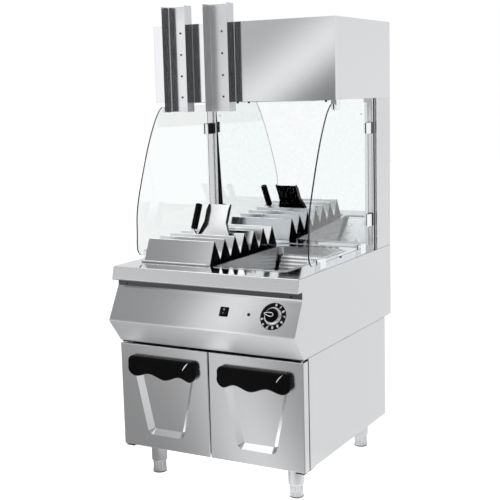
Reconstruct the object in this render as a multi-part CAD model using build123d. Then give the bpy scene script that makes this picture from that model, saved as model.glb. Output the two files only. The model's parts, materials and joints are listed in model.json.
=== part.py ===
from build123d import *
import math
import os

os.makedirs("parts", exist_ok=True)

# A fry warmer on a closed cabinet. Sizes in mm. X runs across with 0 on the
# centre line, Y runs back from the worktop's front edge, Z is up from the floor.
# save() moves every part so that the origin is the middle of the footprint.

# Overall
width = 800.0
worktop_depth = 880.0
worktop_height = 860.0
cabinet_bottom = 137.0
casing_bottom = 561.0
crease_out = 45.0
serving_height = 617.0
hood_height = 305.0
hood_front = 337.0
hood_bottom = worktop_height + serving_height

# Sheet and fits
skin = 1.5
plate = 2.0
bend = 3.0
gap = 0.3
running = 0.05

# Sloping control panel: how far its edges lie in from the worktop's front edge
# and below the worktop, and the (Y, Z) points of its outer face
panel_top_in = 26.6
panel_top_drop = 78.0
crease_drop = 206.4
panel_foot_in = 27.7
panel_top = (panel_top_in, worktop_height - panel_top_drop)
crease = (-crease_out, worktop_height - crease_drop)
panel_foot = (panel_foot_in, casing_bottom)
lip_height = 52.0
lip_lean = 14.5
foot_flange = 32.0

# Controls: distance in from the panel's right end, and down the slope
dial_at = (102.0, 70.0)
pilot_at = (201.0, 71.5)
switch_at = (304.5, 69.5)
dial_diameter = 102.0
knob_ring_diameter = 68.0
knob_diameter = 55.0
knob_height = 24.0
shaft_diameter = 6.0
pilot_diameter = 12.0
switch_size = (35.0, 36.0)
rocker_size = (27.0, 28.0)
rocker_tilt = 9.0

# Cabinet and doors
cabinet_front = 68.0
cabinet_back = 813.0
side_flange = 24.0
door_front = 24.0
door_thick = 36.0
door_head = 10.0
door_gap = 4.0
door_recess_depth = 20.0
recess_half_low = 80.2
recess_half_high = 141.0
recess_foot = 55.0
recess_head = 81.0
recess_radius = 25.0
grip_width = 306.0
grip_rise = 39.0
grip_proud = 25.0
grip_wall = 7.0
hinge_inset = 12.0
pin_diameter = 8.0
seal_width = 26.0
catch_in = 60.0
cable_hole_in = 80.0
gland_in = (120.0, 90.0)

# Feet
foot_inset = 90.7
foot_front_in = 62.8
foot_back_in = 59.5
sleeve_diameter = 63.0
sleeve_end = 48.0
stem_diameter = 30.0
adjuster_diameter = 53.0
base_diameter = 56.0
base_height = 9.0

# Pan and rack
pan_right = 108.0
pan_size = (322.0, 569.0)
pan_front = 110.0
pan_rim = 12.0
pan_depth = 150.0
pan_taper = 3.0
rack_left = 54.0
rack_pan_gap = 15.0
rack_front = 135.0
rack_pitch = 79.5
rack_peaks = 7
rack_foot_run = 39.0
rack_peak = 90.0
rack_valley = 11.0
rod_diameter = 7.0

# Superstructure
post_width = 52.0
post_front = 721.0
post_step = (12.0, 17.0)
back_panel_low = 749.0
back_panel_lean = 2.25
back_flange = 24.0
glass_thick = 6.0
glass_inset = 24.0
glass_back = 695.0
glass_lift = 20.0
glass_drop = 16.0
glass_curve = (
    (344, 581), (317, 561), (289, 526), (244, 449), (207, 368),
    (175, 288), (137, 159), (132, 70), (135, 18), (152, 0),
)
worktop_clip_y = ((193.0, 243.0), (575.0, 625.0))
worktop_clip_height = 38.0
post_clip_rise = ((101.0, 150.0), (476.0, 520.0))
hood_clip_in = (25.0, 61.0)
stud_middle = 25.0
stud_in = 47.0
screw_diameter = 5.0
pad_thick = 1.2
panel_screw_in = 70.0
panel_screw_rise = (45.0, 553.0)

# Heater, in from the hood's sides and front
heater_in = 130.0
heater_front_in = 93.0
heater_length = 220.0
heater_spacing = 60.0
reflector_depth = 60.0

# Carton dispensers, in from the hood's left side and up from its bottom
dispenser_in = (130.0, 320.0)
dispenser_width = 108.0
dispenser_depth = 53.0
dispenser_hang = 36.0
dispenser_length = 411.0
dispenser_hole_rise = (21.0, 104.0, 188.0, 272.0)

# Scoop: where the blade's top edge stands from the rack's middle, the rack's
# front and the worktop, and its lean
scoop_side = 22.5
scoop_back = 310.5
scoop_rise = 196.0
scoop_lean = 25.2
scoop_sheet = 1.2
scoop_wall = 20.0
scoop_shape = ((51.5, 2.0), (51.5, -80.6), (72.0, -128.0), (94.0, -182.0))
handle_offset = (-109.0, -8.0)
handle_diameter = 28.0
handle_span = (-105.0, 4.0)

half = width / 2
door_back = door_front + door_thick
door_top = casing_bottom - door_head
recess_low = cabinet_bottom + recess_foot
recess_high = door_top - recess_head
hood_top = hood_bottom + hood_height
foot_x = half - foot_inset
foot_y = (cabinet_front + foot_front_in, cabinet_back - foot_back_in)
cable_hole = (half - gland_in[0], cabinet_back - cable_hole_in)
gland_z = casing_bottom - gland_in[1]
rack_width = width - rack_left - rack_pan_gap - pan_size[0] - pan_right
scoop_x = -half + rack_left + rack_width / 2 + scoop_side
scoop_y = rack_front + scoop_back
scoop_z = worktop_height + scoop_rise
glass_bottom = worktop_height + glass_lift
glass_top = hood_bottom - glass_drop
worktop_clip_top = worktop_height + worktop_clip_height
post_clip_z = [(worktop_height + low, worktop_height + high) for low, high in post_clip_rise]
hood_clip_y = [hood_front + y for y in hood_clip_in]
panel_screw_x = half - panel_screw_in
panel_screw_z = [worktop_height + z for z in panel_screw_rise]
dispenser_x = [-half + x for x in dispenser_in]
dispenser_z = (hood_bottom - dispenser_hang, hood_bottom - dispenser_hang + dispenser_length)
dispenser_holes = [hood_bottom + z for z in dispenser_hole_rise]
slope = math.dist(panel_top, crease)
down = ((crease[0] - panel_top[0]) / slope, (crease[1] - panel_top[1]) / slope)
out = (down[1], -down[0])


def save(name, parts, middle):
    """Write one part, moved so that the footprint's middle is the origin."""
    solids = [s for p in parts for s in p.solids()]
    whole = solids[0] if len(solids) == 1 else Compound(solids)
    export_step(Pos(0, -middle, 0) * whole, f"parts/{name}.step")


def block(xs, ys, zs):
    """Box between a low and a high value on each axis."""
    spans = (xs, ys, zs)
    centre = [(low + high) / 2 for low, high in spans]
    return Pos(*centre) * Box(*[high - low for low, high in spans])


def rod(start, end, diameter):
    """Round bar between two points."""
    line = Vector(*end) - Vector(*start)
    return extrude(Plane(start, z_dir=line) * Circle(diameter / 2), amount=line.length)


def folded(points, plane, length, thick=skin, radius=bend):
    """Bent sheet: the points are its outer face, with the sheet on their left."""
    line = FilletPolyline(*points, radius=radius)
    edge = offset(line.wire(), amount=thick, side=Side.LEFT, kind=Kind.ARC, closed=True)
    return extrude(plane * make_face(edge), amount=length)


def other_side(part):
    """The same part on the other side of the centre line."""
    return mirror(part, about=Plane.YZ)


def on_panel(spot):
    """Plane on the sloping panel's face at a control, with X across."""
    side, s = spot
    origin = (half - side, panel_top[0] + down[0] * s, panel_top[1] + down[1] * s)
    return Plane(origin, x_dir=(1, 0, 0), z_dir=(0, out[0], out[1]))


def across(x):
    """Plane for profiles in Y and Z, pulled towards +X from x."""
    return Plane.YZ.offset(x)


# Cabinet


def cabinet_side():
    """Side panel with its front and back flanges, bent from one sheet."""
    inner = half - side_flange
    points = [(inner, cabinet_front), (half, cabinet_front),
              (half, cabinet_back), (inner, cabinet_back)]
    top = casing_bottom - skin
    return folded(points, Plane.XY.offset(cabinet_bottom), top - cabinet_bottom)


def cabinet_back_sheet():
    """Back sheet on the inside of the side panels' flanges, with louvres."""
    face = cabinet_back - skin
    zs = (cabinet_bottom + skin, casing_bottom - skin)
    sheet = block((-half + bend, half - bend), (face - skin, face), zs)
    for row in range(6):
        z = cabinet_bottom + 60 + 16 * row
        slot = Plane.XZ * Pos(0, z) * SlotOverall(220, 5)
        sheet -= Pos(0, face + 1, 0) * extrude(slot, amount=skin + 2)
    x = cable_hole[0]
    bore = rod((x, face - 9, gland_z), (x, face + 9, gland_z), 20)
    return sheet - bore


def cabinet_floor():
    """Floor tray with turned-up edges and holes for the leg studs."""
    x = half - skin
    back = cabinet_back - 2 * skin
    tray = block((-x, x), (cabinet_front + skin, back), (cabinet_bottom, cabinet_bottom + 20))
    tray = fillet(tray.edges().filter_by(Axis.Z), bend)
    inside = block((-x + skin, x - skin), (cabinet_front + 2 * skin, back - skin),
                   (cabinet_bottom + skin, cabinet_bottom + 21))
    tray -= inside
    for x, y in feet():
        tray -= rod((x, y, cabinet_bottom - 1), (x, y, cabinet_bottom + 3), 10)
    return tray


def front_rail():
    """Rail over the doorway, bent to an angle that carries the catches."""
    inner = half - side_flange
    top = casing_bottom - skin
    points = [(cabinet_front, top), (cabinet_front, top - 28.5), (cabinet_front + 26, top - 28.5)]
    return folded(points, across(-inner), 2 * inner)


def feet():
    """Foot centres, front pair first."""
    return [(x, y) for y in foot_y for x in (-foot_x, foot_x)]


def leg_sleeve(x, y):
    """Sleeve with a bore for the screw foot and a stud through the floor."""
    r = sleeve_diameter / 2
    bore = stem_diameter / 2 + gap
    outline = Polyline((bore, sleeve_end), (r - 3, sleeve_end), (r, sleeve_end + 4),
                       (r, cabinet_bottom), (5, cabinet_bottom), (5, cabinet_bottom + 14),
                       (0, cabinet_bottom + 14), (0, sleeve_end + 78), (bore, sleeve_end + 78),
                       (bore, sleeve_end))
    return Pos(x, y, 0) * revolve(make_face(Plane.XZ * outline), Axis.Z)


def stud_nut(x, y):
    """Nut on the leg stud, inside the cabinet."""
    z = cabinet_bottom + skin
    nut = extrude(RegularPolygon(9.8, 6), amount=8) - Cylinder(5, 40)
    return Pos(x, y, z) * nut


def hinge_bracket_top():
    """Plate under the casing with the upper hinge bore."""
    zs = (casing_bottom - 4, casing_bottom)
    leaf = block((half - 44, half - 4), (door_front + 3, cabinet_front - gap), zs)
    leaf = fillet(leaf.edges().filter_by(Axis.Z).group_by(Axis.Y)[0], 6)
    x, y = hinge_axis()
    return leaf - rod((x, y, zs[0] - 1), (x, y, zs[1] + 1), pin_diameter)


def hinge_bracket_low():
    """Plate under the cabinet floor with the lower hinge bore."""
    zs = (cabinet_bottom - 6, cabinet_bottom - 3)
    back = cabinet_front + 44
    leaf = block((half - 44, half - 4), (door_front + 3, back), zs)
    leaf = fillet(leaf.edges().filter_by(Axis.Z).group_by(Axis.Y)[0], 6)
    leaf += block((half - 44, half - 4), (cabinet_front + 4, back), (zs[1], cabinet_bottom))
    x, y = hinge_axis()
    return leaf - rod((x, y, zs[0] - 1), (x, y, zs[1] + 1), pin_diameter)


def door_catch(x):
    """Magnetic catch under the front rail, with its nose near the door."""
    z = casing_bottom - skin - 28.5
    body = block((x - 20, x + 20), (cabinet_front, cabinet_front + 22), (z - 18, z))
    return body + block((x - 17, x + 17), (door_back + 1.5, cabinet_front), (z - 16, z - 5))


def cable_gland():
    """Gland in the cabinet's back sheet, under the casing's overhang."""
    y = cabinet_back - skin
    hexagon = extrude(Plane.XZ.offset(-y) * RegularPolygon(14, 6), amount=-7)
    dome = extrude(Plane.XZ.offset(-y - 7) * Circle(11.5), amount=-14, taper=12)
    neck = extrude(Plane.XZ.offset(-y + 8) * Circle(10), amount=-8)
    whole = hexagon + dome + neck
    nut = extrude(Plane.XZ.offset(-y + 7.5) * RegularPolygon(14, 6), amount=-6)
    whole += nut
    whole -= extrude(Plane.XZ.offset(-y + 9) * Circle(5), amount=-40)
    return Pos(cable_hole[0], 0, gland_z) * whole


def hinge_axis():
    """Hinge centre of the right door in X and Y."""
    return half - hinge_inset, door_front + hinge_inset


# Doors


def recess_die(grow):
    """Tapered solid of the pressed recess, grown for the sheet's outer side."""
    side = grow * math.sqrt(2)
    low, high = recess_half_low, recess_half_high
    points = [(-low, recess_low), (low, recess_low), (high, recess_high), (-high, recess_high)]
    line = FilletPolyline(*points, radius=recess_radius, close=True)
    face = make_face(line)
    if side:
        face = offset(face, amount=side, kind=Kind.ARC)
    die = extrude(face, amount=-(door_recess_depth + grow), taper=45)
    return die


def door_skin():
    """Door front bent round its edges, with the pressed trapezoid recess."""
    xs, zs = door_span()
    body = block(xs, (door_front, door_back), zs)
    body = fillet(body.faces().sort_by(Axis.Y)[0].edges(), bend)
    inner_xs = (xs[0] + skin, xs[1] - skin)
    inner_zs = (zs[0] + skin, zs[1] - skin)
    body -= block(inner_xs, (door_front + skin, door_back + 1), inner_zs)
    place = Plane((door_centre(), door_front, 0), x_dir=(1, 0, 0), z_dir=(0, -1, 0))
    body += place * recess_die(skin)
    body -= place * recess_die(0)
    x, y = hinge_axis()
    return body - rod((x, y, zs[0] - 1), (x, y, zs[1] + 1), pin_diameter + 2 * running)


def door_span():
    """X and Z extent of the right door."""
    return (door_gap / 2, half), (cabinet_bottom, door_top)


def door_centre():
    """Middle of the right door in X."""
    return (door_gap / 2 + half) / 2


def door_liner():
    """Inner sheet of the door with a shallow pressed field."""
    xs, zs = door_span()
    ys = (door_back - skin, door_back)
    sheet = block((xs[0] + skin, xs[1] - skin), ys, (zs[0] + skin, zs[1] - skin))
    field = Plane((door_centre(), door_back, (zs[0] + zs[1]) / 2),
                  x_dir=(-1, 0, 0), z_dir=(0, 1, 0))
    size = (xs[1] - xs[0] - 110, zs[1] - zs[0] - 110)
    press = extrude(field * RectangleRounded(*size, 20), amount=-4, taper=40)
    backing = extrude(field * RectangleRounded(size[0] + 4, size[1] + 4, 22),
                      amount=-4 - skin, taper=40)
    return sheet + backing - press


def door_gasket():
    """Soft seal on the cabinet's front round three sides of a doorway.

    The side leg is thinner, clear of the swing of the door's back corner.
    """
    low, high = cabinet_bottom + 4, casing_bottom - skin - 12
    inner, outer = half - seal_width - skin, half - skin
    reach = math.hypot(hinge_inset, door_back - hinge_axis()[1])
    front = hinge_axis()[1] + reach + 2 * gap
    seal = block((inner, outer), (front, cabinet_front), (low, high))
    xs = (door_gap / 2 + 10, inner + skin)
    seal += block(xs, (door_back + gap, cabinet_front), (high - 12, high))
    return seal + block(xs, (door_back + gap, cabinet_front + skin), (low, low + 12))


def door_grip():
    """Black grip with a wavy lower edge and a hollow for the fingers."""
    h, foot = grip_width / 2, recess_high
    top = foot + grip_rise
    wave = Spline((-h, foot), (-h + 5, foot - 30), (-h + 22, foot - 42), (-h + 64, foot - 30),
                  (-16, foot - 47), (h - 95, foot - 29), (h - 23, foot - 40),
                  (h - 4, foot - 26), (h, foot))
    over = Polyline((h, foot), (h, top - 20))
    corner = ThreePointArc((h, top - 20), (h - 6, top - 6), (h - 20, top))
    roof = Line((h - 20, top), (-h + 20, top))
    corner2 = ThreePointArc((-h + 20, top), (-h + 6, top - 6), (-h, top - 20))
    down_left = Line((-h, top - 20), (-h, foot))
    face = make_face(Wire([*wave.edges(), *over.edges(), corner.edge(), roof.edge(),
                           corner2.edge(), down_left.edge()]))
    place = Plane((door_centre(), door_front, 0), x_dir=(1, 0, 0), z_dir=(0, -1, 0))
    body = extrude(place * face, amount=grip_proud)
    front = body.faces().sort_by(Axis.Y)[0]
    body = fillet(front.edges(), 9)
    pocket = block((-h + 24, h - 24), (door_front - grip_proud + grip_wall, door_front + 1),
                   (foot - 70, foot + 16))
    pocket = fillet(pocket.edges().filter_by(Axis.Y).group_by(Axis.Z)[-1], 14)
    return body - Pos(door_centre(), 0, 0) * pocket


def hinge_pins():
    """Upper pin and collared lower pin, fixed in their brackets."""
    x, y = hinge_axis()
    upper = rod((x, y, door_top - 9), (x, y, casing_bottom), pin_diameter)
    low = cabinet_bottom - 6
    lower = rod((x, y, low), (x, y, cabinet_bottom + 9), pin_diameter)
    collar = rod((x, y, low + 3), (x, y, cabinet_bottom - gap), pin_diameter + 6)
    return [upper, lower + collar]


# Feet


def screw_foot(x, y):
    """Fluted adjuster on a rounded base, with its stem up the sleeve."""
    shoulder = sleeve_end - gap
    base = extrude(Circle(base_diameter / 2), amount=base_height)
    base = fillet(base.edges().group_by(Axis.Z)[0], 3)
    body = rod((0, 0, base_height), (0, 0, shoulder), adjuster_diameter)
    for turn in range(12):
        a = math.radians(30 * turn)
        r = adjuster_diameter / 2 + 1.5
        cx, cy = r * math.cos(a), r * math.sin(a)
        body -= rod((cx, cy, base_height + 6), (cx, cy, shoulder - 4), 7)
    stem = rod((0, 0, shoulder), (0, 0, shoulder + 70), stem_diameter)
    return Pos(x, y, 0) * (base + body + stem)


# Upper casing


def worktop():
    """Worktop with its leaning front lip, back fold and the well opening."""
    top = worktop_height
    low = top - lip_height
    points = [(panel_top[0] - skin, low), (-lip_lean, low), (0, top),
              (worktop_depth, top), (worktop_depth, top - 20)]
    points.reverse()
    sheet = folded(points, across(-half), width, radius=5)
    x, y = pan_centre()
    hole = Pos(x, y, top) * Box(well_size()[0], well_size()[1], 20)
    return sheet - fillet(hole.edges().filter_by(Axis.Z), 20)


def control_panel():
    """Sloping panel with its crease and lower return, and the control holes."""
    points = [panel_top, crease, panel_foot, (panel_foot[0] + foot_flange, panel_foot[1])]
    sheet = folded(points, across(-half), width)
    holes = [(dial_at, Circle(5)), (pilot_at, Circle(pilot_diameter / 2 - 2)),
             (switch_at, Rectangle(switch_size[0] - 4, switch_size[1] - 4))]
    for spot, shape in holes:
        sheet -= extrude(on_panel(spot) * shape, amount=5, both=True)
    return sheet


def recess_strip():
    """Angle that closes the shadow recess between the lip and the panel."""
    y, foot = panel_top
    xs = (-half + plate, half - plate)
    upright = block(xs, (y, y + skin), (foot, worktop_height - lip_height + 14))
    return upright + block(xs, (y + skin, y + 24), (foot, foot + skin))


def recess_screw(x):
    """Pan-head screw in the recess strip."""
    y, z = panel_top[0], panel_top[1] + 8
    head = rod((x, y, z), (x, y - 2.2, z), 8)
    head = fillet(head.edges().sort_by(Axis.Y)[0], 1.5)
    return head


def casing_outline():
    """Side outline of the casing from floor sheet to worktop."""
    low = worktop_height - lip_height
    points = [(worktop_depth, casing_bottom), (worktop_depth, worktop_height), (0, worktop_height),
              (-lip_lean, low), (panel_top[0], low), panel_top, crease, panel_foot]
    return make_face(Polyline(*points, close=True))


def casing_end(sheets):
    """End plate cut to the casing's outline and trimmed behind its sheets."""
    body = extrude(across(half - plate) * casing_outline(), amount=plate)
    for sheet in sheets:
        body -= sheet
    return max(body.solids(), key=lambda s: s.volume)


def casing_back():
    """Back sheet of the casing with ventilation slots."""
    y = worktop_depth - skin
    sheet = block((-half + plate, half - plate), (y - skin, y),
                  (casing_bottom, worktop_height - 5))
    for x in (-220, 0, 220):
        for row in range(5):
            slot = Plane.XZ * Pos(x, casing_bottom + 60 + 18 * row) * SlotOverall(120, 6)
            sheet -= Pos(0, y + 1, 0) * extrude(slot, amount=skin + 2)
    return sheet


def casing_floor():
    """Floor sheet of the casing with a cable hole."""
    ys = (panel_foot[0] + foot_flange, worktop_depth - 2 * skin)
    sheet = block((-half + plate, half - plate), ys, (casing_bottom, casing_bottom + skin))
    x, y = cable_hole
    return sheet - rod((x, y, casing_bottom - 1), (x, y, casing_bottom + 3), 24)


def cabinet_top():
    """Sheet between cabinet and casing, set in to leave a shadow line."""
    ys = (cabinet_front + 4, cabinet_back - 4)
    sheet = block((-half + 4, half - 4), ys, (casing_bottom - skin, casing_bottom))
    x, y = cable_hole
    return sheet - rod((x, y, casing_bottom - 3), (x, y, casing_bottom + 1), 24)


def pan_centre():
    """Middle of the pan in X and Y."""
    return half - pan_right - pan_size[0] / 2, pan_front + pan_size[1] / 2


def well_size():
    """Opening in the worktop under the pan's rim."""
    return pan_size[0] - 2 * pan_rim + 4, pan_size[1] - 2 * pan_rim + 4


def well_tank():
    """Dry well welded under the worktop's opening."""
    x, y = pan_centre()
    w, d = well_size()
    top = worktop_height - skin
    depth = pan_depth + 30
    outer = extrude(RectangleRounded(w + 2 * skin, d + 2 * skin, 20 + skin), amount=-depth)
    outer = fillet(outer.faces().sort_by(Axis.Z)[0].edges(), 12)
    inner = extrude(RectangleRounded(w, d, 20), amount=-depth + skin)
    inner = fillet(inner.faces().sort_by(Axis.Z)[0].edges(), 12 - skin)
    flange = extrude(RectangleRounded(w + 30, d + 30, 34), amount=-skin)
    return Pos(x, y, top) * (outer + flange - inner)


def well_heater():
    """Tubular heating element bent back and forth under the well."""
    x, y = pan_centre()
    z = worktop_height - skin - pan_depth - 30 - 4
    w, d = 220.0, 440.0
    rows, step = 4, 220.0 / 4
    points = [(x - w / 2, y - d / 2 - 30)]
    for row in range(rows + 1):
        px = x - w / 2 + row * step
        ends = (y - d / 2, y + d / 2) if row % 2 == 0 else (y + d / 2, y - d / 2)
        if row:
            points.append((px, ends[0]))
        points.append((px, ends[1]))
    path = FilletPolyline(*[(px, py, z) for px, py in points], radius=24)
    start = Plane((points[0][0], points[0][1], z), z_dir=(0, 1, 0))
    return sweep(start * Circle(4), path=path.wire())


# Controls


def thermostat():
    """Thermostat housing behind the panel with its flatted shaft."""
    place = on_panel(dial_at)
    body = extrude(place.offset(-skin) * RectangleRounded(44, 44, 4), amount=-34)
    neck = extrude(place.offset(-skin) * Circle(5), amount=skin + 0.8)
    shaft = extrude(place * (Circle(shaft_diameter / 2)), amount=16)
    flat = place * Pos(0, 3.6, 10) * Box(8, 4, 16)
    terminals = Part()
    for side in (-12, 12):
        tab = place.offset(-skin - 34) * Pos(side, 0, 0)
        terminals += extrude(tab * Rectangle(0.8, 6.3), amount=-9)
    return body + neck + shaft - flat + terminals


def dial_plate():
    """Numeral ring on the panel round the knob."""
    place = on_panel(dial_at)
    ring = extrude(place * Circle(dial_diameter / 2), amount=1.2)
    ring = chamfer(ring.edges().sort_by(Axis.Y)[0], 0.5)
    return ring - extrude(place * Circle(6), amount=4)


def knob():
    """Knob body with a teardrop grip across it, pointing left at rest."""
    place = on_panel(dial_at)
    base = place.offset(4.5)
    body = extrude(base * Circle(knob_diameter / 2), amount=8, taper=6)
    tail, tip = knob_diameter / 2 - 7, knob_diameter / 2 + 4
    drop = make_hull([*(Pos(tail - 12, 0) * Circle(11)).edges(), *(Pos(-tip + 4, 0) * Circle(3)).edges()])
    grip = extrude(base * Rot(0, 0, -22) * drop, amount=knob_height - 4.5)
    tip_face = max(grip.faces().filter_by(Plane(place.origin, z_dir=place.z_dir)),
                   key=lambda f: Vector(f.center()).dot(place.z_dir))
    grip = fillet(tip_face.edges(), 2)
    whole = body + grip
    bore = extrude(base * Circle(shaft_diameter / 2 + running), amount=13)
    return whole - bore


def knob_ring():
    """Bright skirt under the knob."""
    place = on_panel(dial_at)
    disc = extrude(place.offset(1.2 + gap) * Circle(knob_ring_diameter / 2), amount=3)
    disc = chamfer(disc.edges().sort_by(Axis.Y)[0], 1)
    return disc - extrude(place * Circle(shaft_diameter / 2 + running), amount=6)


def switch_bezel():
    """Frame and housing of the rocker switch."""
    place = on_panel(switch_at)
    frame = extrude(place * RectangleRounded(*switch_size, 2.5), amount=3)
    frame = fillet(frame.faces().sort_by(Axis.Y)[0].edges(), 1)
    body = extrude(place * Rectangle(switch_size[0] - 4, switch_size[1] - 4), amount=-24)
    hole = extrude(place.offset(-8) * Rectangle(rocker_size[0] + 0.8, rocker_size[1] + 1.6), amount=14)
    lugs = Part()
    for side in (-8, 8):
        lug = place.offset(-24) * Pos(side, 0, 0)
        lugs += extrude(lug * Rectangle(0.8, 6.3), amount=-8)
    return frame + body - hole + lugs


def rocker():
    """Rocker with a shallow saddle, tipped to its off side."""
    place = on_panel(switch_at)
    w, h = rocker_size
    line = Polyline((-h / 2, -2), (-h / 2, 6.5), (0, 4), (h / 2, 6.5), (h / 2, -2),
                    (4, -6.5), (-4, -6.5), close=True)
    side = Plane(place.origin - place.x_dir * (w / 2), x_dir=place.y_dir, z_dir=place.x_dir)
    return extrude(side * Rot(0, 0, -rocker_tilt) * make_face(line), amount=w)


def pilot_light():
    """Pilot lamp with a collar and a domed lens."""
    place = on_panel(pilot_at)
    r = pilot_diameter / 2
    lens = extrude(place * Circle(r), amount=3.5)
    lens = fillet(lens.edges().sort_by(Axis.Y)[0], 2.5)
    return lens + extrude(place * Circle(r - 2), amount=-22)


# Posts, glasses and back panel


def post():
    """Post bent from sheet, with a step at its outer front corner."""
    w, d = post_step
    inner = half - post_width
    points = [(inner, worktop_depth), (inner, post_front), (half - w, post_front),
              (half - w, post_front + d), (half, post_front + d), (half, worktop_depth)]
    return folded(points, Plane.XY.offset(worktop_height), hood_bottom - worktop_height)


def post_back():
    """Cover that closes the back of a post."""
    xs = (half - post_width + skin, half - skin)
    return block(xs, (worktop_depth - 2 * skin, worktop_depth - skin),
                 (worktop_height, hood_bottom))


def back_panel_y(z):
    """Front face of the leaning back panel at a height."""
    return back_panel_low - (z - worktop_height) * math.tan(math.radians(back_panel_lean))


def back_panel():
    """Polished sheet leaning forward at its top, with folded foot and head."""
    low, high = worktop_height, hood_bottom
    points = [(back_panel_low + back_flange, low), (back_panel_low, low),
              (back_panel_y(high), high), (back_panel_y(high) + back_flange, high)]
    points.reverse()
    x = half - post_width
    return folded(points, across(-x), 2 * x)


def panel_screw(x, z):
    """Small domed screw on the back panel's face."""
    y = back_panel_y(z)
    head = Plane((x, y, z), z_dir=(0, -1, -math.tan(math.radians(back_panel_lean))))
    dome = extrude(head * Circle(4), amount=2)
    return fillet(dome.edges().sort_by(Axis.Y)[0], 1.3)


def side_glass():
    """Side glass with its curved front edge."""
    x = half - glass_inset
    rise = (glass_top - glass_bottom) / glass_curve[0][1]
    edge = [(y, glass_bottom + rise * z) for y, z in glass_curve]
    curve = Spline(*edge)
    rest = Polyline(edge[-1], (glass_back, glass_bottom), (glass_back, glass_top), edge[0])
    face = make_face(Wire([*curve.edges(), *rest.edges()]))
    return extrude(across(x - glass_thick / 2) * face, amount=glass_thick)


def worktop_clip(ys):
    """Clamp on the worktop that holds the glass's lower edge in a slot."""
    x = half - glass_inset
    clip = block((x - 7, x + 17), ys, (worktop_height, worktop_clip_top))
    clip = fillet(clip.edges().filter_by(Axis.X).group_by(Axis.Z)[-1], 6)
    t = glass_thick / 2 + pad_thick
    slot = block((x - t, x + t), (ys[0] - 1, ys[1] + 1), (glass_bottom, worktop_clip_top + 1))
    return clip - slot


def pads(ys, zs):
    """Soft pads on both faces of the glass in a clamp."""
    x, t = half - glass_inset, glass_thick / 2
    return [block((x + t, x + t + pad_thick), ys, zs),
            block((x - t - pad_thick, x - t), ys, zs)]


def post_clip(zs):
    """Clamp on the post's front for the glass's back edge."""
    x = half - glass_inset
    clip = block((x - 12, x + 12), (glass_back - 26, post_front), zs)
    clip = fillet(clip.edges().filter_by(Axis.Z).group_by(Axis.Y)[0], 5)
    t = glass_thick / 2 + pad_thick
    return clip - block((x - t, x + t), (glass_back - 30, glass_back), (zs[0] - 1, zs[1] + 1))


def hood_clip():
    """Clamp under the hood's edge for the glass's top."""
    x = half - glass_inset
    zs = (glass_top - 23, hood_bottom)
    clip = block((x - 9, x + 13), hood_clip_y, zs)
    clip = fillet(clip.edges().filter_by(Axis.X).group_by(Axis.Z)[0], 4)
    t = glass_thick / 2 + pad_thick
    return clip - block((x - t, x + t), (hood_clip_y[0] - 1, hood_clip_y[1] + 1),
                        (zs[0] - 1, glass_top))


# Hood


def hood_shell():
    """Front, top and sides of the hood."""
    body = block((-half, half), (hood_front, worktop_depth), (hood_bottom, hood_top))
    body = fillet(body.edges().filter_by(Axis.Z).group_by(Axis.Y)[0], bend)
    inside = block((-half + skin, half - skin), (hood_front + skin, worktop_depth + 1),
                   (hood_bottom - 1, hood_top - skin))
    return body - inside


def hood_base():
    """Bottom tray of the hood with the heater opening."""
    xs = (-half + skin, half - skin)
    ys = (hood_front + skin, worktop_depth - skin)
    tray = block(xs, ys, (hood_bottom, hood_bottom + 22))
    tray -= block((xs[0] + skin, xs[1] - skin), (ys[0] + skin, ys[1] - skin),
                  (hood_bottom + skin, hood_bottom + 23))
    (x0, x1), (y0, y1) = heater_opening()
    return tray - block((x0, x1), (y0, y1), (hood_bottom - 1, hood_bottom + 3))


def heater_opening():
    """X and Y extent of the opening in the hood base."""
    y = hood_front + heater_front_in
    return (-half + heater_in, half - heater_in), (y, y + heater_length)


def heater_reflector():
    """Bent reflector over the opening, closed at both ends."""
    (x0, x1), (y0, y1) = heater_opening()
    z = hood_bottom + skin
    roof = z + reflector_depth
    points = [(y0 - 14, z), (y0, z), (y0 + 50, roof), (y1 - 50, roof), (y1, z), (y1 + 14, z)]
    trough = folded(points, across(x0), x1 - x0, radius=4)
    outline = points[1:5]
    cap = offset(make_face(Polyline(*outline, close=True)), amount=skin / 2)
    cap -= Pos((y0 + y1) / 2, z - 5) * Rectangle(y1 - y0 + 20, 10)
    ends = [extrude(across(x) * cap, amount=skin) for x in (x0 - skin, x1)]
    return trough + ends[0] + ends[1]


def quartz_heater(y):
    """Quartz tube with ceramic end caps held by the reflector's ends."""
    (x0, x1), _ = heater_opening()
    z = hood_bottom + skin + reflector_depth / 2
    tube = rod((x0 + 20, y, z), (x1 - 20, y, z), 12)
    return tube + rod((x0, y, z), (x0 + 24, y, z), 17) + rod((x1 - 24, y, z), (x1, y, z), 17)


def heater_guard():
    """Wire guard across the heater opening."""
    (x0, x1), (y0, y1) = heater_opening()
    z = hood_bottom - 2
    wires = [rod((x0 - 10, y, z), (x1 + 10, y, z), 4) for y in (y0 - 8, (y0 + y1) / 2, y1 + 8)]
    for i in range(11):
        x = x0 + (x1 - x0) * i / 10
        wires.append(rod((x, y0 - 12, z), (x, y1 + 12, z), 3))
    whole = wires[0]
    for wire in wires[1:]:
        whole += wire
    return whole


def hood_back():
    """Back cover of the hood with slots."""
    y = worktop_depth
    sheet = block((-half + skin, half - skin), (y - skin, y), (hood_bottom, hood_top - skin))
    for x in (-200, 0, 200):
        for row in range(5):
            slot = Plane.XZ * Pos(x, hood_top - 60 - 18 * row) * SlotOverall(120, 6)
            sheet -= Pos(0, y + 1, 0) * extrude(slot, amount=skin + 2)
    return sheet


def hood_stud(x):
    """Small black stop under the hood's front edge."""
    y = hood_front + 11
    return rod((x, y, hood_bottom - 7), (x, y, hood_bottom), 9)


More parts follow.
